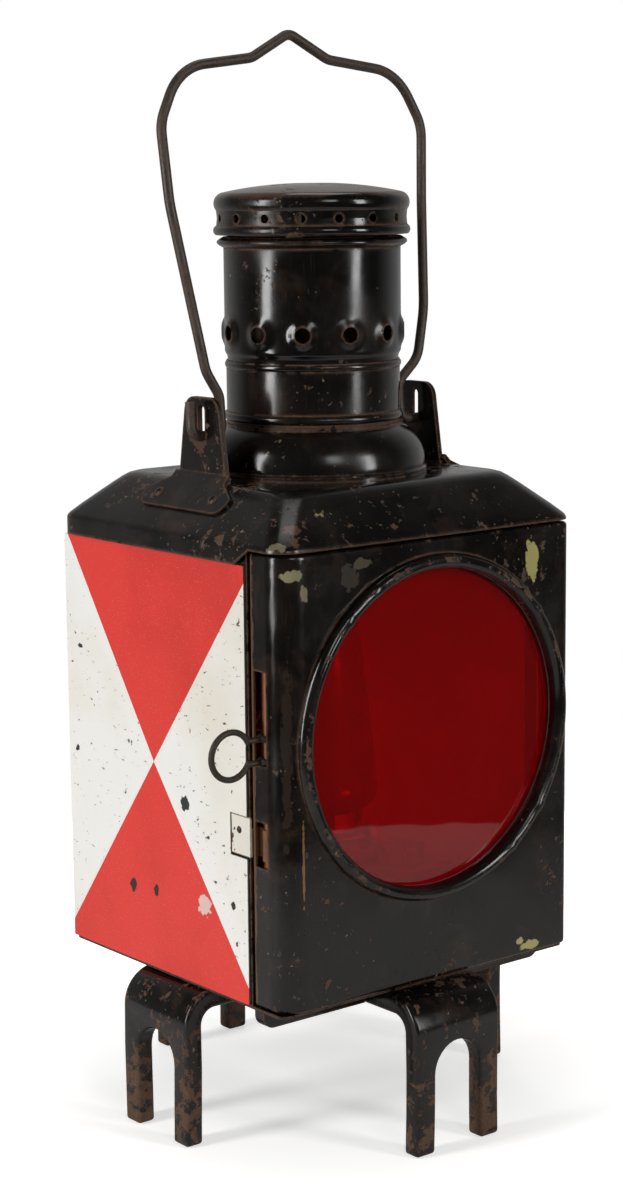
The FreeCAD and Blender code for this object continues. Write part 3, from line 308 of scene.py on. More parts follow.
def on_door(u, out):
    """Place in plan of a point u along the door's unrolled sheet and out from its face, in mm."""
    if u < bend_left:
        a = min((bend_left - u) / latch_bend, math.pi / 2)
        way = Vector((-math.sin(a), -math.cos(a)))
        spot = Vector((bend_left, door_face + latch_bend)) + way * latch_bend
        spot.y += max(0.0, flat_left - u)
    elif u > bend_right:
        a = min((u - bend_right) / hinge_bend, math.pi / 2)
        way = Vector((math.sin(a), -math.cos(a)))
        spot = Vector((bend_right, door_face + hinge_bend)) + way * hinge_bend
        spot.y += max(0.0, u - flat_right)
    else:
        way, spot = Vector((0, -1)), Vector((u, door_face))
    return spot + way * out


edge_left = flat_left - (door_rear - door_face - latch_bend)
nips = [(-55.3, 267), (-38.1, 280.2), (56.6, 273.2), (69.7, 260.8), (-69.0, 164.9), (-54.5, 149.1),
        (51.3, 137.5), (72.6, 155.0)]
nip_angles = [math.atan2(z - lens_z, x - lens_x) for x, z in nips]
around = 224
angles = [2 * math.pi * i / around for i in range(around)]
z_low, z_high = door_low + rim_bend, door_high - rim_bend
for cx, cz in ((edge_left, z_low), (edge_right, z_low), (edge_right, z_high), (edge_left, z_high)):
    a = math.atan2(cz - lens_z, cx - lens_x) % (2 * math.pi)
    nearest = min(range(around), key=lambda i: abs(angles[i] - a))
    angles[nearest] = a
middle_r, half_r = (bead_out + lens_hole) / 2, (bead_out - lens_hole) / 2
nip_r, nip_width = 82.0, 2.6
# the bead's section, as (radius, height out): the lip turned in, the round crest, and its foot
rings_at = [(lens_hole + 0.2, -2.4), (lens_hole - 0.1, -0.6)]
rings_at += [(middle_r - half_r * math.cos(math.pi * i / 12), bead_height * math.sin(math.pi * i / 12) ** 0.9)
             for i in range(13)]
rings_at += [(bead_out + 0.5, 0.0), (bead_foot, 0.0)]
blank = bmesh.new()
rows = []
for radius, out in rings_at:
    row = []
    for a in angles:
        nip = sum(math.exp(-(math.atan2(math.sin(a - n), math.cos(a - n)) * nip_r / nip_width) ** 2)
                  for n in nip_angles)
        # a nip squeezes the bead up and a little outwards
        grow = 1 + 0.16 * nip if out > 0.5 else 1.0
        r = radius + (0.5 * nip if radius > middle_r and out > 0.5 else 0)
        x, z = lens_x + r * math.cos(a), lens_z + r * math.sin(a)
        row.append(blank.verts.new((x * MM, -out * grow * MM, z * MM)))
    rows.append(row)
# the flat runs from the bead out to the edges of the blank
steps = 9
for k in range(1, steps + 1):
    row = []
    for a in angles:
        c, s = math.cos(a), math.sin(a)
        reach = min((edge_right - lens_x) / c if c > 1e-9 else (edge_left - lens_x) / c if c < -1e-9 else 1e9,
                    (z_high - lens_z) / s if s > 1e-9 else (z_low - lens_z) / s if s < -1e-9 else 1e9)
        r = bead_foot + (reach - bead_foot) * k / steps
        row.append(blank.verts.new(((lens_x + r * c) * MM, 0, (lens_z + r * s) * MM)))
    rows.append(row)
for inner, outer in zip(rows, rows[1:]):
    for i in range(around):
        blank.faces.new((inner[i], inner[(i + 1) % around], outer[(i + 1) % around], outer[i]))
cut_lines(blank, 0, [bend_left - latch_bend * math.pi / 2 * i / 9 for i in range(10)])
cut_lines(blank, 0, [bend_right + hinge_bend * math.pi / 2 * i / 5 for i in range(6)])
# two slots in the latch-side flange, for the ring and for the keeper, and the hem along the rear edges
slot_left, slot_right, hem = flat_left - 9.6, flat_left - 0.4, 3.6
slots = ((199.25, 244.0), (149.7, 171.8))
cut_lines(blank, 0, [slot_left, slot_right, edge_left + hem, edge_right - hem])
cut_lines(blank, 2, [z for pair in slots for z in pair])
open_faces = [f for f in blank.faces
              if slot_left < f.calc_center_median().x / MM < slot_right
              and any(a < f.calc_center_median().z / MM < b for a, b in slots)]
bmesh.ops.delete(blank, geom=open_faces, context="FACES")
along = blank.verts.layers.float.new("along")
for v in blank.verts:
    u, out = v.co.x / MM, -v.co.y / MM
    v[along] = u
    spot = on_door(u, out)
    v.co = (spot.x * MM, spot.y * MM, v.co.z)
# the top and bottom edges roll over in five steps, and a sixth runs back as the flange
roll_steps = 5
for side, edge_z in ((1, z_high), (-1, z_low)):
    rim = [e for e in blank.edges if e.is_boundary and all(abs(v.co.z / MM - edge_z) < 1e-3 for v in e.verts)]
    for i in range(1, roll_steps + 2):
        grown = bmesh.ops.extrude_edge_only(blank, edges=rim)["geom"]
        rim = [g for g in grown if isinstance(g, bmesh.types.BMEdge) and g.is_boundary
               and abs(g.verts[0][along] - g.verts[1][along]) > 1e-6]
        for v in {v for e in rim for v in e.verts}:
            a = math.pi / 2 * min(i, roll_steps) / roll_steps
            spot = on_door(v[along], -rim_bend * (1 - math.cos(a)))
            if i > roll_steps:
                spot = Vector((max(-door_half + rim_bend, min(door_half - rim_bend, spot.x)), door_rear))
            v.co = (spot.x * MM, spot.y * MM, (edge_z + side * rim_bend * math.sin(a)) * MM)
bmesh.ops.remove_doubles(blank, verts=blank.verts[:], dist=1e-6)
bmesh.ops.dissolve_degenerate(blank, edges=blank.edges[:], dist=1e-6)
# an older olive coat shows near the corners, rust in one scratch and scuffs at the top; the brown stripe down
# the rear hem is rust and partly a painted highlight along its lit edge
door_patches = [((64.9, -90, 282.5), (5.5, 3, 11.5), "#b2aa6c"), ((65.5, -90, 84.5), (8, 3, 3.0), "#b2aa6c"),
                ((58.0, -90, 88.0), (3.5, 3, 2.5), "#b2aa6c"), ((-84, -87, 290), (6, 6, 3.5), "#8d8a6a"),
                ((-79, -89, 281), (3, 5, 5), "#857c64"), ((-80.5, -90, 152), (0.9, 3, 22), "#8a6238"),
                ((-52, -90, 286), (6, 3, 8), "#3f3a33"), ((-43, -90, 292), (9, 3, 3), "#57503f"),
                ((-91.6, -66.6, 190), (2, 1.7, 118), "#5f4430"), ((-88, -88, 205), (3, 4, 60), "#2e241c")]
rubbed_r = 82.5
door_enamel = stoving_enamel("black_stoving_enamel_door", 0.7, old_paint_and_highlights=door_patches,
                             rubbed_ring=(lens_x, lens_z, rubbed_r))
# flat white paint laid on with a brush: cream clouds of soot, and brush marks that catch the light
lamp_white, tree, place = new_finish("white_lamp_paint")
cloud = add(tree, "TexNoise", {"Scale": 1 / (25 * MM), "Detail": 5}, {"Vector": place})
soot_and_gap_shade = add(tree, "Mix", {"data_type": "RGBA", 6: linear("#f4f0e6"), 7: linear("#cfc4a8")}, {0: cloud})
# painted shade: the flange's inside is painted black from here to its rear edge, for the shaded gap between
# door and case
gap_shade_from = -73.5
gap_shade_mask = add(tree, "SeparateXYZ", links={0: place})
gap_shade_mask = add(tree, "Math", {"operation": "GREATER_THAN", 1: gap_shade_from * MM}, {0: gap_shade_mask.outputs[1]})
soot_and_gap_shade = add(tree, "Mix", {"data_type": "RGBA", 7: linear("#14110e")}, {0: gap_shade_mask, 6: soot_and_gap_shade.outputs[2]})
brushed = add(tree, "TexNoise", {"Scale": 1 / (1.1 * MM), "Detail": 2}, {"Vector": place})
sealed(tree, {"Roughness": 0.5, "IOR": 1.5},
       {"Base Color": soot_and_gap_shade.outputs[2],
        "Normal": add(tree, "Bump", {"Strength": 0.5, "Distance": 0.05 * MM}, {"Height": brushed})})
door = settle("door_pan", blank, "door", [door_enamel, lamp_white], thickness=1.2 * MM, smooth_angle=45)
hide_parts("door_panel")

# ---------------------------------------------------------------- lens
# A pressed ruby glass disc, a little domed, bedded in putty behind the bead and held by a flat
# tinned ring with four spring clips. The glass is coloured through, so thick places look darker.
ruby, tree, place = new_finish("ruby_glass")
streak = add(tree, "TexNoise", {"Scale": 1 / (60 * MM), "Detail": 3}, {"Vector": place})
tone = add(tree, "Mix", {"data_type": "RGBA", 6: linear("#f00008"), 7: linear("#d80006")}, {0: streak})
# dust specks, drawn 0.8 mm wide so that they show
dust = add(tree, "TexNoise", {"Scale": 1 / (2.6 * MM), "Detail": 6, "Roughness": 0.7}, {"Vector": place})
dusty = add(tree, "MapRange", {"From Min": 0.68, "From Max": 0.78, "To Max": 0.3}, {"Value": dust})
tone = add(tree, "Mix", {"data_type": "RGBA", 7: linear("#c2564e")}, {0: dusty, 6: tone.outputs[2]})
ripple = add(tree, "TexNoise", {"Scale": 1 / (35 * MM), "Detail": 1}, {"Vector": place})
through = add(tree, "MapRange", {"To Min": 0.88, "To Max": 0.5}, {"Value": dusty})
# lamps outside light the white room behind the glass: shadow rays pass it, as the light itself would
lit_through = add(tree, "LightPath").outputs["Is Shadow Ray"]
lit_through = add(tree, "MapRange", {"To Min": 1.0, "To Max": 0.0}, {"Value": lit_through})
sealed(tree, {"IOR": 1.5},
       {"Base Color": tone.outputs[2], "Transmission Weight": through, "Alpha": lit_through,
        "Roughness": add(tree, "MapRange", {"To Min": 0.03, "To Max": 0.5}, {"Value": dusty}),
        "Normal": add(tree, "Bump", {"Strength": 1.0, "Distance": 0.12 * MM}, {"Height": ripple})})
dress(ruby, "red_lens")

# linseed putty gone hard: dead matt, grey-brown, with thumbed lumps about 3 mm across
putty, tree, place = new_finish("dried_linseed_putty")
lump = add(tree, "TexNoise", {"Scale": 1 / (3 * MM), "Detail": 5}, {"Vector": place})
tone = add(tree, "Mix", {"data_type": "RGBA", 6: linear("#8d8271"), 7: linear("#5d5346")}, {0: lump})
sealed(tree, {"Roughness": 0.85},
       {"Base Color": tone.outputs[2],
        "Normal": add(tree, "Bump", {"Distance": 0.3 * MM}, {"Height": lump})})
dress(putty, "lens_gasket")


def tinned_sheet(name, light, dark):
    """Hot-dipped tin on thin sheet: a soft grey metal with cloudy spangle about 6 mm across, and
    dull stains."""
    made, tree, place = new_finish(name)
    spangle = add(tree, "TexVoronoi", {"Scale": 1 / (6 * MM)}, {"Vector": place})
    cloud = add(tree, "TexNoise", {"Scale": 1 / (20 * MM), "Detail": 6}, {"Vector": place})
    stain = add(tree, "MapRange", {"From Min": 0.4, "From Max": 0.7}, {"Value": cloud})
    grey = add(tree, "Mix", {"data_type": "RGBA", 6: linear(light), 7: linear(dark)}, {0: stain})
    shade = add(tree, "MapRange", {"To Min": 0.92, "To Max": 1.05}, {"Value": spangle.outputs["Distance"]})
    grey = add(tree, "VectorMath", {"operation": "MULTIPLY"}, {0: grey.outputs[2], 1: shade})
    dull = add(tree, "MapRange", {"To Min": 0.32, "To Max": 0.65}, {"Value": stain})
    sealed(tree, {"Metallic": 0.9},
           {"Base Color": grey, "Roughness": dull,
            "Normal": add(tree, "Bump", {"Strength": 0.4, "Distance": 0.06 * MM}, {"Height": cloud})})
    return made


tinplate = tinned_sheet("tinned_sheet", "#b9b5aa", "#7d7566")
dress(tinplate, "lens_retainer", "lens_clips")

# ---------------------------------------------------------------- marker panels
# On each side a thin zinc-coated plate lies on the case wall, covered with retroreflective film:
# white left and right, red above and below, meeting in a point at the middle.


def bead_film(name, fresh, stained, marks, spots=()):
    """Glass-bead reflective film: matt plastic full of fine beads, whose glints are painted into the colour
    as white specks drawn 1.3 mm apart so that they show. marks is how much of it is scuffed and scratched
    down to the dark adhesive, and spots lists the larger knocks as patches."""
    made, tree, place = new_finish(name)
    beads = add(tree, "TexVoronoi", {"Scale": 1 / (1.3 * MM)}, {"Vector": place})
    lit = add(tree, "MapRange", {"From Min": 0.18, "From Max": 0.05}, {"Value": beads.outputs["Distance"]})
    cloud = add(tree, "TexNoise", {"Scale": 1 / (70 * MM), "Detail": 5}, {"Vector": place})
    aged = add(tree, "MapRange", {"From Min": 0.45, "From Max": 0.75}, {"Value": cloud})
    tone = add(tree, "Mix", {"data_type": "RGBA", 6: linear(fresh), 7: linear(stained)}, {0: aged})
    # painted glints: the beads' sparkle is mixed into the colour as white
    glint = add(tree, "Math", {"operation": "MULTIPLY", 1: 0.28}, {0: lit})
    tone = add(tree, "Mix", {"data_type": "RGBA", 7: linear("#ffffff")}, {0: glint, 6: tone.outputs[2]})
    # scratches 0.5 mm wide and up to 8 mm long in all directions, and round knocks 2 mm across
    swirl = add(tree, "TexNoise", {"Scale": 1 / (40 * MM), "Detail": 1}, {"Vector": place})
    bent_place = add(tree, "VectorMath", {"operation": "MULTIPLY_ADD", 1: (0.03, 0.03, 0.03)},
                     {0: swirl.outputs["Color"], 2: place})
    long_way = add(tree, "Mapping", {"Scale": (700, 170, 700), "Rotation": (0.5, 0, 0)},
                   {"Vector": bent_place})
    scratch = add(tree, "TexNoise", {"Scale": 1.0, "Detail": 3, "Roughness": 0.6}, {"Vector": long_way})
    scratch = add(tree, "MapRange", {"From Min": 0.80 - 0.1 * marks, "From Max": 0.83 - 0.1 * marks},
                  {"Value": scratch})
    knock = add(tree, "TexNoise", {"Scale": 1 / (7 * MM), "Detail": 7, "Roughness": 0.6}, {"Vector": place})
    knock = add(tree, "MapRange", {"From Min": 0.80 - 0.1 * marks, "From Max": 0.82 - 0.1 * marks},
                {"Value": knock})
    worn = add(tree, "Math", {"operation": "MAXIMUM"}, {0: scratch, 1: knock})
    tone = add(tree, "Mix", {"data_type": "RGBA", 7: linear("#3b302a")}, {0: worn, 6: tone.outputs[2]})
    torn = add(tree, "TexNoise", {"Scale": 1 / (3 * MM), "Detail": 4}, {"Vector": place})
    colour = patched(tree, place, tone.outputs[2], spots, torn, 1.5, 1.6)
    bent = add(tree, "Bump", {"Strength": 0.5, "Distance": 0.05 * MM}, {"Height": beads.outputs["Distance"]})
    bent = add(tree, "Bump", {"Strength": 1.0, "Distance": 0.1 * MM, "invert": True},
               {"Height": worn, "Normal": bent})
    sealed(tree, {"IOR": 1.5, "Roughness": 0.42}, {"Base Color": colour, "Normal": bent})
    return made


red_film = bead_film("red_reflective_film", "#ec3d33", "#d8332a", 0.4,
                     [((-93, 32.6, 119.6), (4, 3.4, 4), "#3a1512"),
                      ((-93, 12.4, 120.9), (4, 2.4, 4), "#3a1512"),
                      ((-93, -28, 122), (4, 6.5, 6), "#efc9c2")])
dress(red_film, "red_film_left", "red_film_right")
white_film = bead_film("white_reflective_film", "#fffdf8", "#f2ecdc", 1.3,
                       [((-93, -13, 170), (4, 4, 4), "#2e2f30"), ((-93, -51, 127), (4, 2.2, 2.6), "#2c2a28"),
                        ((-93, 76, 236), (4, 2.2, 1.4), "#3c3f42")])
dress(white_film, "white_film_left", "white_film_right")
# zinc on thin steel plate: dull grey, browned in 8 mm clouds where rust has come through
zinc, tree, place = new_finish("zinc_coated_plate")
stain = add(tree, "TexNoise", {"Scale": 1 / (8 * MM), "Detail": 7}, {"Vector": place})
tone = add(tree, "Mix", {"data_type": "RGBA", 6: linear("#8c8375"), 7: linear("#5b3a24")}, {0: stain})
sealed(tree, {"Metallic": 0.5, "Roughness": 0.6},
       {"Base Color": tone.outputs[2],
        "Normal": add(tree, "Bump", {"Distance": 0.1 * MM}, {"Height": stain})})
dress(zinc, "marker_plate_left", "marker_plate_right")

# ---------------------------------------------------------------- latch
# A round steel bolt slides in two barrels inside the door's edge and drops into a third, on the
# keeper's leaf on the case. An open wire ring with two eyes wraps it and comes out through the slot.


def rusted_steel(name, bare, rust, deep):
    """Mild steel that lost its paint: brown oxide over grey metal, rougher and redder where it is damp."""
    made, tree, place = new_finish(name)
    edge = worn_edge(tree, 0.8)
    cloud = add(tree, "TexNoise", {"Scale": 1 / (12 * MM), "Detail": 8, "Roughness": 0.65}, {"Vector": place})
    fine = add(tree, "TexNoise", {"Scale": 1 / (1.8 * MM), "Detail": 5, "Roughness": 0.7}, {"Vector": place})
    oxide = add(tree, "MapRange", {"From Min": 0.42, "From Max": 0.62}, {"Value": cloud})
    tone = add(tree, "Mix", {"data_type": "RGBA", 6: linear(bare), 7: linear(rust)}, {0: oxide})
    damp = add(tree, "MapRange", {"From Min": 0.52, "From Max": 0.72}, {"Value": fine})
    tone = add(tree, "Mix", {"data_type": "RGBA", 7: linear(deep)}, {0: damp, 6: tone.outputs[2]})
    rubbed = add(tree, "Math", {"operation": "MULTIPLY", 1: 0.35}, {0: edge})
    tone = add(tree, "Mix", {"data_type": "RGBA", 7: linear("#8a7b69")}, {0: rubbed, 6: tone.outputs[2]})
    bent = add(tree, "Bump", {"Strength": 0.8, "Distance": 0.15 * MM}, {"Height": cloud})
    bent = add(tree, "Bump", {"Strength": 0.7, "Distance": 0.06 * MM}, {"Height": fine, "Normal": bent})
    dull = add(tree, "MapRange", {"From Min": 0.4, "From Max": 0.7, "To Min": 0.42, "To Max": 0.8},
               {"Value": cloud})
    sealed(tree, {"Metallic": 0.35}, {"Base Color": tone.outputs[2], "Normal": bent, "Roughness": dull})
    return made


# the bolt and its barrels are bare and orange with rust; the ring is dark from being handled
bolt_rust = rusted_steel("rusty_bolt_steel", "#8a6138", "#a5662f", "#5f3b20")
dress(bolt_rust, "bolt_rod", "bolt_guides")
ring_iron = rusted_steel("dark_wire_iron", "#3b342e", "#4a3a2e", "#241f1b")
dress(ring_iron, "ring_pull")
latch_enamel = stoving_enamel("black_stoving_enamel_fittings", 0.9)
dress(latch_enamel, "keeper_rivet")
# steel with white paint on its outer face only, flaked off to brown rust, most along the edges
leaf_face = -91.9
leaf_paint, tree, place = new_finish("painted_keeper_leaf")
edge = worn_edge(tree, 0.8)
flake = add(tree, "TexNoise", {"Scale": 1 / (5 * MM), "Detail": 7}, {"Vector": place})
across = add(tree, "SeparateXYZ", links={0: place})
outside = add(tree, "Math", {"operation": "LESS_THAN", 1: leaf_face * MM}, {0: across.outputs[0]})
whole = add(tree, "Math", {"operation": "MULTIPLY_ADD", 1: 0.7}, {0: edge, 2: flake})
whole = add(tree, "Math", {"operation": "LESS_THAN", 1: 0.66}, {0: whole})
painted = add(tree, "Math", {"operation": "MULTIPLY"}, {0: outside, 1: whole})
bare = add(tree, "Mix", {"data_type": "RGBA", 6: linear("#9a6032"), 7: linear("#4b2f1b")}, {0: flake})
tone = add(tree, "Mix", {"data_type": "RGBA", 7: linear("#efe9dc")}, {0: painted, 6: bare.outputs[2]})
sealed(tree, {"Roughness": 0.6},
       {"Base Color": tone.outputs[2],
        "Normal": add(tree, "Bump", {"Distance": 0.1 * MM}, {"Height": flake})})
dress(leaf_paint, "keeper_leaf")

# ---------------------------------------------------------------- hinges
# Two loose-pin butt hinges of folded strip, riveted through the door's flange and the case wall
# and enamelled over, so the knuckles are rubbed back to steel where they turn.
dress(latch_enamel, "hinge_leaf_case_lower", "hinge_leaf_case_upper", "hinge_leaf_door_lower",
      "hinge_leaf_door_upper", "hinge_pin_lower", "hinge_pin_upper", "hinge_rivets_case", "hinge_rivets_door")

# ---------------------------------------------------------------- chimney
# A flared bell, a short tube and a wider vented tube of rolled sheet, swaged together. The vents
# are punched outwards, so each sits in a soft raised boss. A pressed cap keeps the rain out.
chimney_enamel = stoving_enamel("black_stoving_enamel_chimney", 0.45)
tube_r, neck_r, vent_z, vent_r, vents = 44.0, 42.7, 395.0, 3.9, 12
boss_r, boss_out, boss_fade = 5.6, 1.7, 2.7
bead_r, bead_low, tube_top = 47.3, 436.4, 441.8
# the section as (radius, height): the neck, the swell, close rows past the vents, wider rows, the bead
profile = [(neck_r, 373.0), (neck_r, 382.6), (43.0, 383.6), (43.6, 384.6), (tube_r, 385.6)]
profile += [(tube_r, 385.6 + 1.25 * i) for i in range(1, 17)]
profile += [(tube_r, 408 + 4.5 * i) for i in range(7)]
profile += [(tube_r + (bead_r - tube_r) * math.sin(math.pi * i / 12),
             bead_low + (tube_top - bead_low) * i / 12) for i in range(13)]
columns, pitch = 16 * vents, 2 * math.pi / vents
tube = bmesh.new()
grid = []
for r, z in profile:
    row = []
    for i in range(columns):
        a = 2 * math.pi * i / columns
        nearest = (math.floor(a / pitch) + 0.5) * pitch
        dx, dz = tube_r * (a - nearest), z - vent_z
        d = math.hypot(dx, dz)
        # corners near a vent are drawn onto its round edge, and the next ones onto a ring round it
        if 3.0 < d < 5.0 and abs(dz) < 6:
            dx, dz, d = dx * vent_r / d, dz * vent_r / d, vent_r
        elif 5.0 <= d < 6.4 and abs(dz) < 7:
            dx, dz, d = dx * boss_r / d, dz * boss_r / d, boss_r
        fall = max(0.0, d - vent_r) / boss_fade
        boss = boss_out * math.exp(-fall ** 2) if abs(dz) < 14 and z < 425 else 0.0
        angle = nearest + dx / tube_r
        out = r + boss
        x, y = out * math.cos(angle), out * math.sin(angle)
        row.append(tube.verts.new((x * MM, y * MM, (vent_z + dz) * MM)))
    grid.append(row)
for low_row, high_row in zip(grid, grid[1:]):
    for i in range(columns):
        tube.faces.new((low_row[i], low_row[(i + 1) % columns], high_row[(i + 1) % columns], high_row[i]))
punched = []
for face in tube.faces:
    spot = face.calc_center_median() / MM
    a = math.atan2(spot.y, spot.x) % (2 * math.pi)
    nearest = (math.floor(a / pitch) + 0.5) * pitch
    if math.hypot(tube_r * (a - nearest), spot.z - vent_z) < vent_r - 0.15:
        punched.append(face)
bmesh.ops.delete(tube, geom=punched, context="FACES")
# bare sheet inside the tube: dead matt brown soot in 10 mm clouds
inner_soot, tree, place = new_finish("sooted_sheet")
cloud = add(tree, "TexNoise", {"Scale": 1 / (10 * MM), "Detail": 6}, {"Vector": place})
tone = add(tree, "Mix", {"data_type": "RGBA", 6: linear("#6b5038"), 7: linear("#2c221a")}, {0: cloud})
sealed(tree, {"Roughness": 0.9},
       {"Base Color": tone.outputs[2],
        "Normal": add(tree, "Bump", {"Distance": 0.2 * MM}, {"Height": cloud})})
vented = settle("vented_tube", tube, "case", [chimney_enamel, inner_soot],
                thickness=0.7 * MM, smooth_angle=60)
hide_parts("chimney_upper")
dress(chimney_enamel, "chimney_bell", "chimney_lower")
cap_enamel = stoving_enamel("black_stoving_enamel_cap", 1.1, rained_above=462.0)
dress(cap_enamel, "chimney_cap")
# inside, in the smoke, the tin has gone brown
flue_tin = tinned_sheet("sooted_tinned_sheet", "#8f8068", "#4a3a2a")
dress(flue_tin, "cap_stays", "inner_flue", "flue_collar", "wind_baffle")

# ---------------------------------------------------------------- lugs and bail
# Two tapered strip lugs are bent out onto the roof and riveted; the 5 mm iron wire bail hooks into
# their slots. It is bent by hand to a kinked crown, and hands have rubbed it brown.
lug_patches = [((side * 69, 2, 347), (5, 8, 10), "#4f3626") for side in (-1, 1)]
lug_enamel = stoving_enamel("black_stoving_enamel_lugs", 0.8, old_paint_and_highlights=lug_patches)
dress(lug_enamel, "lug_left", "lug_right", "lug_rivets")
bail_iron = rusted_steel("rubbed_wire_iron", "#484039", "#5c4b3f", "#332b26")
dress(bail_iron, "bail")

# ---------------------------------------------------------------- forks
# Four flat iron bars, slotted by saw and drill, hammered round a former and riveted under the
# floor. They drop over a wagon's lamp bracket, and the forge leaves every edge soft.
fork_half, fork_wall, bend_r, arm, drop = 27.0, 10.0, 18.0, 46.0, 60.8
slot_half, slot_top, floor_low, soft_edge = 15.0, 54.3, 78.8, 1.9
fork_iron = stoving_enamel("black_enamel_on_forged_iron", 1.15, rust_below=70.0)
length = arm + bend_r * math.pi / 2 + drop
round_at = length - slot_top + slot_half
fork_places = (("right", 105.0, 0), ("back", 109.0, 90), ("left", 105.0, 180), ("front", 109.0, 270))
for name, reach, turn in fork_places:
    outline = [(0, -fork_half), (length, -fork_half), (length, -slot_half), (round_at, -slot_half)]
    outline += [(round_at - slot_half * math.sin(math.pi * i / 16), -slot_half * math.cos(math.pi * i / 16))
                for i in range(1, 16)]
    outline += [(round_at, slot_half), (length, slot_half), (length, fork_half), (0, fork_half)]
    bar = bmesh.new()
    face = bar.faces.new([bar.verts.new((s * MM, y * MM, 0)) for s, y in outline])
    grown = bmesh.ops.extrude_face_region(bar, geom=[face])["geom"]
    for v in [g for g in grown if isinstance(g, bmesh.types.BMVert)]:
        v.co.z -= fork_wall * MM
    bmesh.ops.recalc_face_normals(bar, faces=bar.faces[:])
    sharp = [e for e in bar.edges if e.calc_face_angle(0) > math.radians(40)]
    bmesh.ops.bevel(bar, geom=sharp, offset=soft_edge * MM, segments=4, profile=0.5, affect="EDGES")
    cut_lines(bar, 0, [arm + bend_r * math.pi / 2 * i / 14 for i in range(15)])
    cut_lines(bar, 0, [arm / 2, length - 40, length - 20])
    # hammered by eye, so each leg leans and waves by about half a millimetre
    uneven = random.Random(turn + 3)
    lean = uneven.uniform(-0.6, 0.6)
    for v in bar.verts:
        s, y, t = v.co.x / MM, v.co.y / MM, -v.co.z / MM
        a = min(max(s - arm, 0) / bend_r, math.pi / 2)
        cx, cz = reach - bend_r, floor_low - bend_r
        x = reach - bend_r - arm + s if s < arm else cx + (bend_r - t) * math.sin(a)
        z = floor_low - t if s < arm else cz + (bend_r - t) * math.cos(a)
        z -= max(0, s - arm - bend_r * math.pi / 2)
        swell = 0.5 * math.sin(s / 21 + turn) * (1 if y > 0 else -1) if s > arm + 30 else 0
        spot = Vector((x, y + swell + lean * max(0, cz - z) / 60, z)) * MM
        c, q = round(math.cos(math.radians(turn))), round(math.sin(math.radians(turn)))
        v.co = (spot.x * c - spot.y * q, spot.x * q + spot.y * c, max(spot.z, 0.0))
    fork = settle("fork_" + name + "_forged", bar, "case", [fork_iron], smooth_angle=30)
    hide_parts("fork_" + name)
dress(fork_iron, "fork_rivets")

# ---------------------------------------------------------------- oil tank and burner
# A soldered tinned tank slides between two rails on the floor. Its brass burner screws in at the
# middle and carries a flat cotton wick, a thumb wheel and a sprung gallery for the lamp glass.
dress(tinplate, "oil_tank", "tank_rails")
# cast and turned brass: yellow metal that has gone brown and dull in 9 mm clouds
brass, tree, place = new_finish("tarnished_brass")
cloud = add(tree, "TexNoise", {"Scale": 1 / (9 * MM), "Detail": 6}, {"Vector": place})
tone = add(tree, "Mix", {"data_type": "RGBA", 6: linear("#c9a45c"), 7: linear("#6e5330")}, {0: cloud})
dull = add(tree, "MapRange", {"To Min": 0.22, "To Max": 0.6}, {"Value": cloud})
sealed(tree, {"Metallic": 1.0},
       {"Base Color": tone.outputs[2], "Roughness": dull,
        "Normal": add(tree, "Bump", {"Strength": 0.4, "Distance": 0.05 * MM}, {"Height": cloud})})
dress(brass, "burner", "glass_gallery", "filler_cap", "wick_knob", "wick_spindle")
# flat woven cotton, cream where it is soaked in oil and burnt black over its top 5 mm
scorch_low, scorch_high = 146, 151
cotton, tree, place = new_finish("woven_cotton_wick")
weave = add(tree, "TexWave", {"Scale": 1 / (4.4 * MM), "bands_direction": "Z"}, {"Vector": place})
height = add(tree, "SeparateXYZ", links={0: place})
scorch = add(tree, "MapRange", {"From Min": scorch_low * MM, "From Max": scorch_high * MM},
             {"Value": height.outputs[2]})
tone = add(tree, "Mix", {"data_type": "RGBA", 6: linear("#d9ceb2"), 7: linear("#241d16")}, {0: scorch})
sealed(tree, {"Roughness": 0.95},
       {"Base Color": tone.outputs[2],
        "Normal": add(tree, "Bump", {"Distance": 0.25 * MM}, {"Height": weave})})
dress(cotton, "wick")
# blown soda glass, IOR 1.52, made darker brown in 18 mm clouds so that only some light comes through
soda_glass, tree, place = new_finish("darkened_soda_glass")
cloud = add(tree, "TexNoise", {"Scale": 1 / (18 * MM), "Detail": 4}, {"Vector": place})
tone = add(tree, "Mix", {"data_type": "RGBA", 6: linear("#6d5f50"), 7: linear("#2c221a")}, {0: cloud})
dull = add(tree, "MapRange", {"To Min": 0.02, "To Max": 0.3}, {"Value": cloud})
sealed(tree, {"IOR": 1.52, "Transmission Weight": 0.55},
       {"Base Color": tone.outputs[2], "Roughness": dull,
        "Normal": add(tree, "Bump", {"Strength": 0.2, "Distance": 0.1 * MM}, {"Height": cloud})})
dress(soda_glass, "lamp_glass")

# ---------------------------------------------------------------- table, light and camera
# A round pale table, a tall soft box on the latch side, a strip in front, two weak boxes higher up,
# and a white wall behind. Sizes here are in metres, and the lights' power is in watts.
table_r, table_drop = 0.6, 0.0005
disc = bmesh.new()
bmesh.ops.create_circle(disc, cap_ends=True, segments=96, radius=table_r)
table_mesh = bpy.data.meshes.new("table_top")
disc.to_mesh(table_mesh)
disc.free()
table = bpy.data.objects.new("table_top", table_mesh)
bpy.context.scene.collection.objects.link(table)
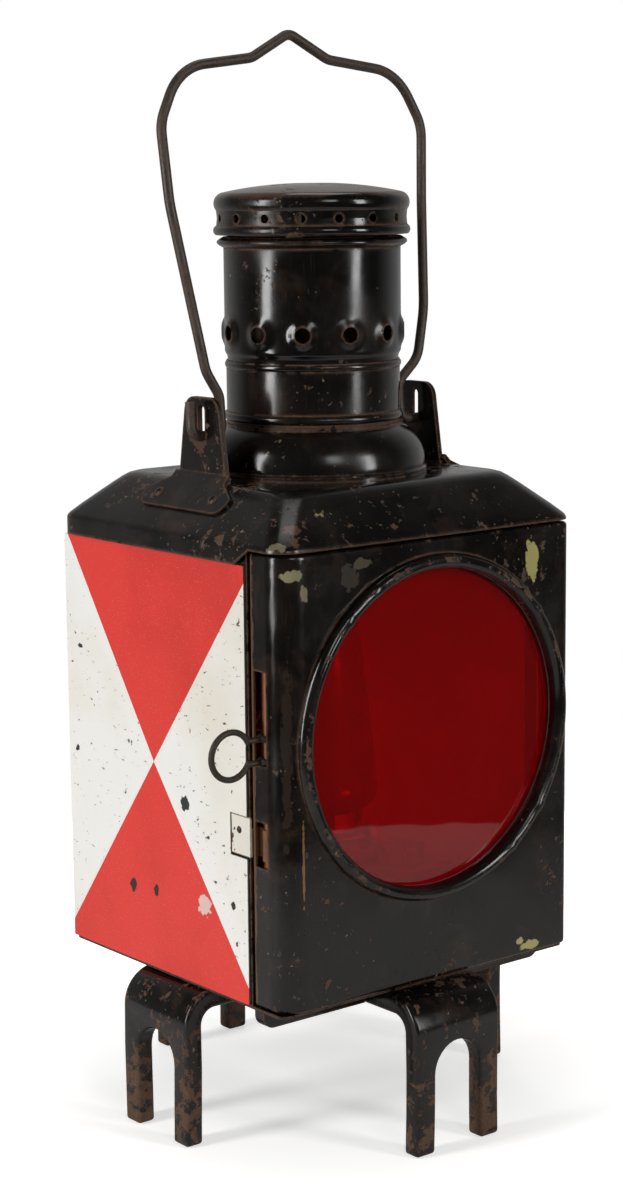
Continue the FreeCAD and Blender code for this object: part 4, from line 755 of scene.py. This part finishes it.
# white card with a fine grain; it glows, and more so further out, so that it is white to its edge
card, tree, place = new_finish("white_card")
grain = add(tree, "TexNoise", {"Scale": 1 / (2 * MM), "Detail": 2}, {"Vector": place})
far = add(tree, "VectorMath", {"operation": "LENGTH"}, {0: place})
fade = add(tree, "MapRange", {"From Min": 0.03, "From Max": 0.36, "To Min": 0.5,
                              "interpolation_type": "SMOOTHSTEP"}, {"Value": far.outputs["Value"]})
looked_at = add(tree, "LightPath").outputs["Is Camera Ray"]
fade = add(tree, "Math", {"operation": "MULTIPLY"}, {0: fade, 1: looked_at})
sealed(tree, {"Base Color": linear("#f4f3f1"), "Roughness": 0.9, "Emission Color": (1, 1, 1, 1)},
       {"Emission Strength": fade,
        "Normal": add(tree, "Bump", {"Strength": 0.2, "Distance": 0.05 * MM}, {"Height": grain})})
table_mesh.materials.append(card)
table.location.z = -table_drop


def soft_box(name, spot, aim, width, height, power):
    """A white rectangular light at one point, turned to face another."""
    lamp = bpy.data.lights.new(name, "AREA")
    lamp.shape, lamp.size, lamp.size_y, lamp.energy = "RECTANGLE", width, height, power
    made = bpy.data.objects.new(name, lamp)
    bpy.context.scene.collection.objects.link(made)
    made.location = spot
    made.rotation_euler = (Vector(aim) - Vector(spot)).to_track_quat("-Z", "Y").to_euler()


soft_box("latch_side_box", (-1.5, 0.22, 0.62), (0, 0, 0.22), 0.34, 1.25, 16.5)
soft_box("camera_side_box", (-0.5, -1.7, 1.2), (0, 0, 0.2), 0.5, 0.6, 4)
soft_box("top_box", (0.35, 0.3, 1.75), (0, 0, 0.25), 0.7, 0.7, 3)
soft_box("front_strip", (0.62, -1.75, 0.75), (0, 0, 0.25), 0.36, 1.1, 13)
world = bpy.data.worlds.new("studio")
bpy.context.scene.world = world
world.use_nodes = True
tree = world.node_tree
tree.nodes.clear()
way = add(tree, "TexCoord").outputs["Generated"]
toward = add(tree, "VectorMath", {"operation": "DOT_PRODUCT", 1: (0.62, 0.77, -0.35)}, {0: way})
wall = add(tree, "MapRange", {"From Min": 0.05, "From Max": 0.6, "To Min": 0.05, "To Max": 0.4},
           {"Value": toward.outputs["Value"]})
seen = add(tree, "LightPath").outputs["Is Camera Ray"]
power = add(tree, "Mix", {3: 1.0}, {0: seen, 2: wall})
glow = add(tree, "Background", {"Color": (1, 1, 1, 1)}, {"Strength": power})
add(tree, "OutputWorld", links={"Surface": glow})

camera_data = bpy.data.cameras.new("camera")
camera_data.sensor_fit, camera_data.sensor_height, camera_data.lens = "VERTICAL", 36.0, 74.54
camera = bpy.data.objects.new("camera", camera_data)
bpy.context.scene.collection.objects.link(camera)
bpy.context.scene.camera = camera
azimuth, rise, roll, distance = math.radians(-38.65), math.radians(9.59), math.radians(-0.57), 1.263
back = Vector((math.sin(azimuth) * math.cos(rise), -math.cos(azimuth) * math.cos(rise), math.sin(rise)))
right = (-back).cross(Vector((0, 0, 1))).normalized()
up = right.cross(-back)
target = Vector((0, 0, 0.2585)) + right * -0.00196
camera.location = target + back * distance
side = right * math.cos(roll) + up * math.sin(roll)
top = up * math.cos(roll) - right * math.sin(roll)
turn = [[side[i], top[i], back[i]] for i in range(3)]
camera.rotation_mode = "QUATERNION"
camera.rotation_quaternion = Matrix(turn).to_quaternion()
bpy.context.scene.view_settings.view_transform = "Standard"
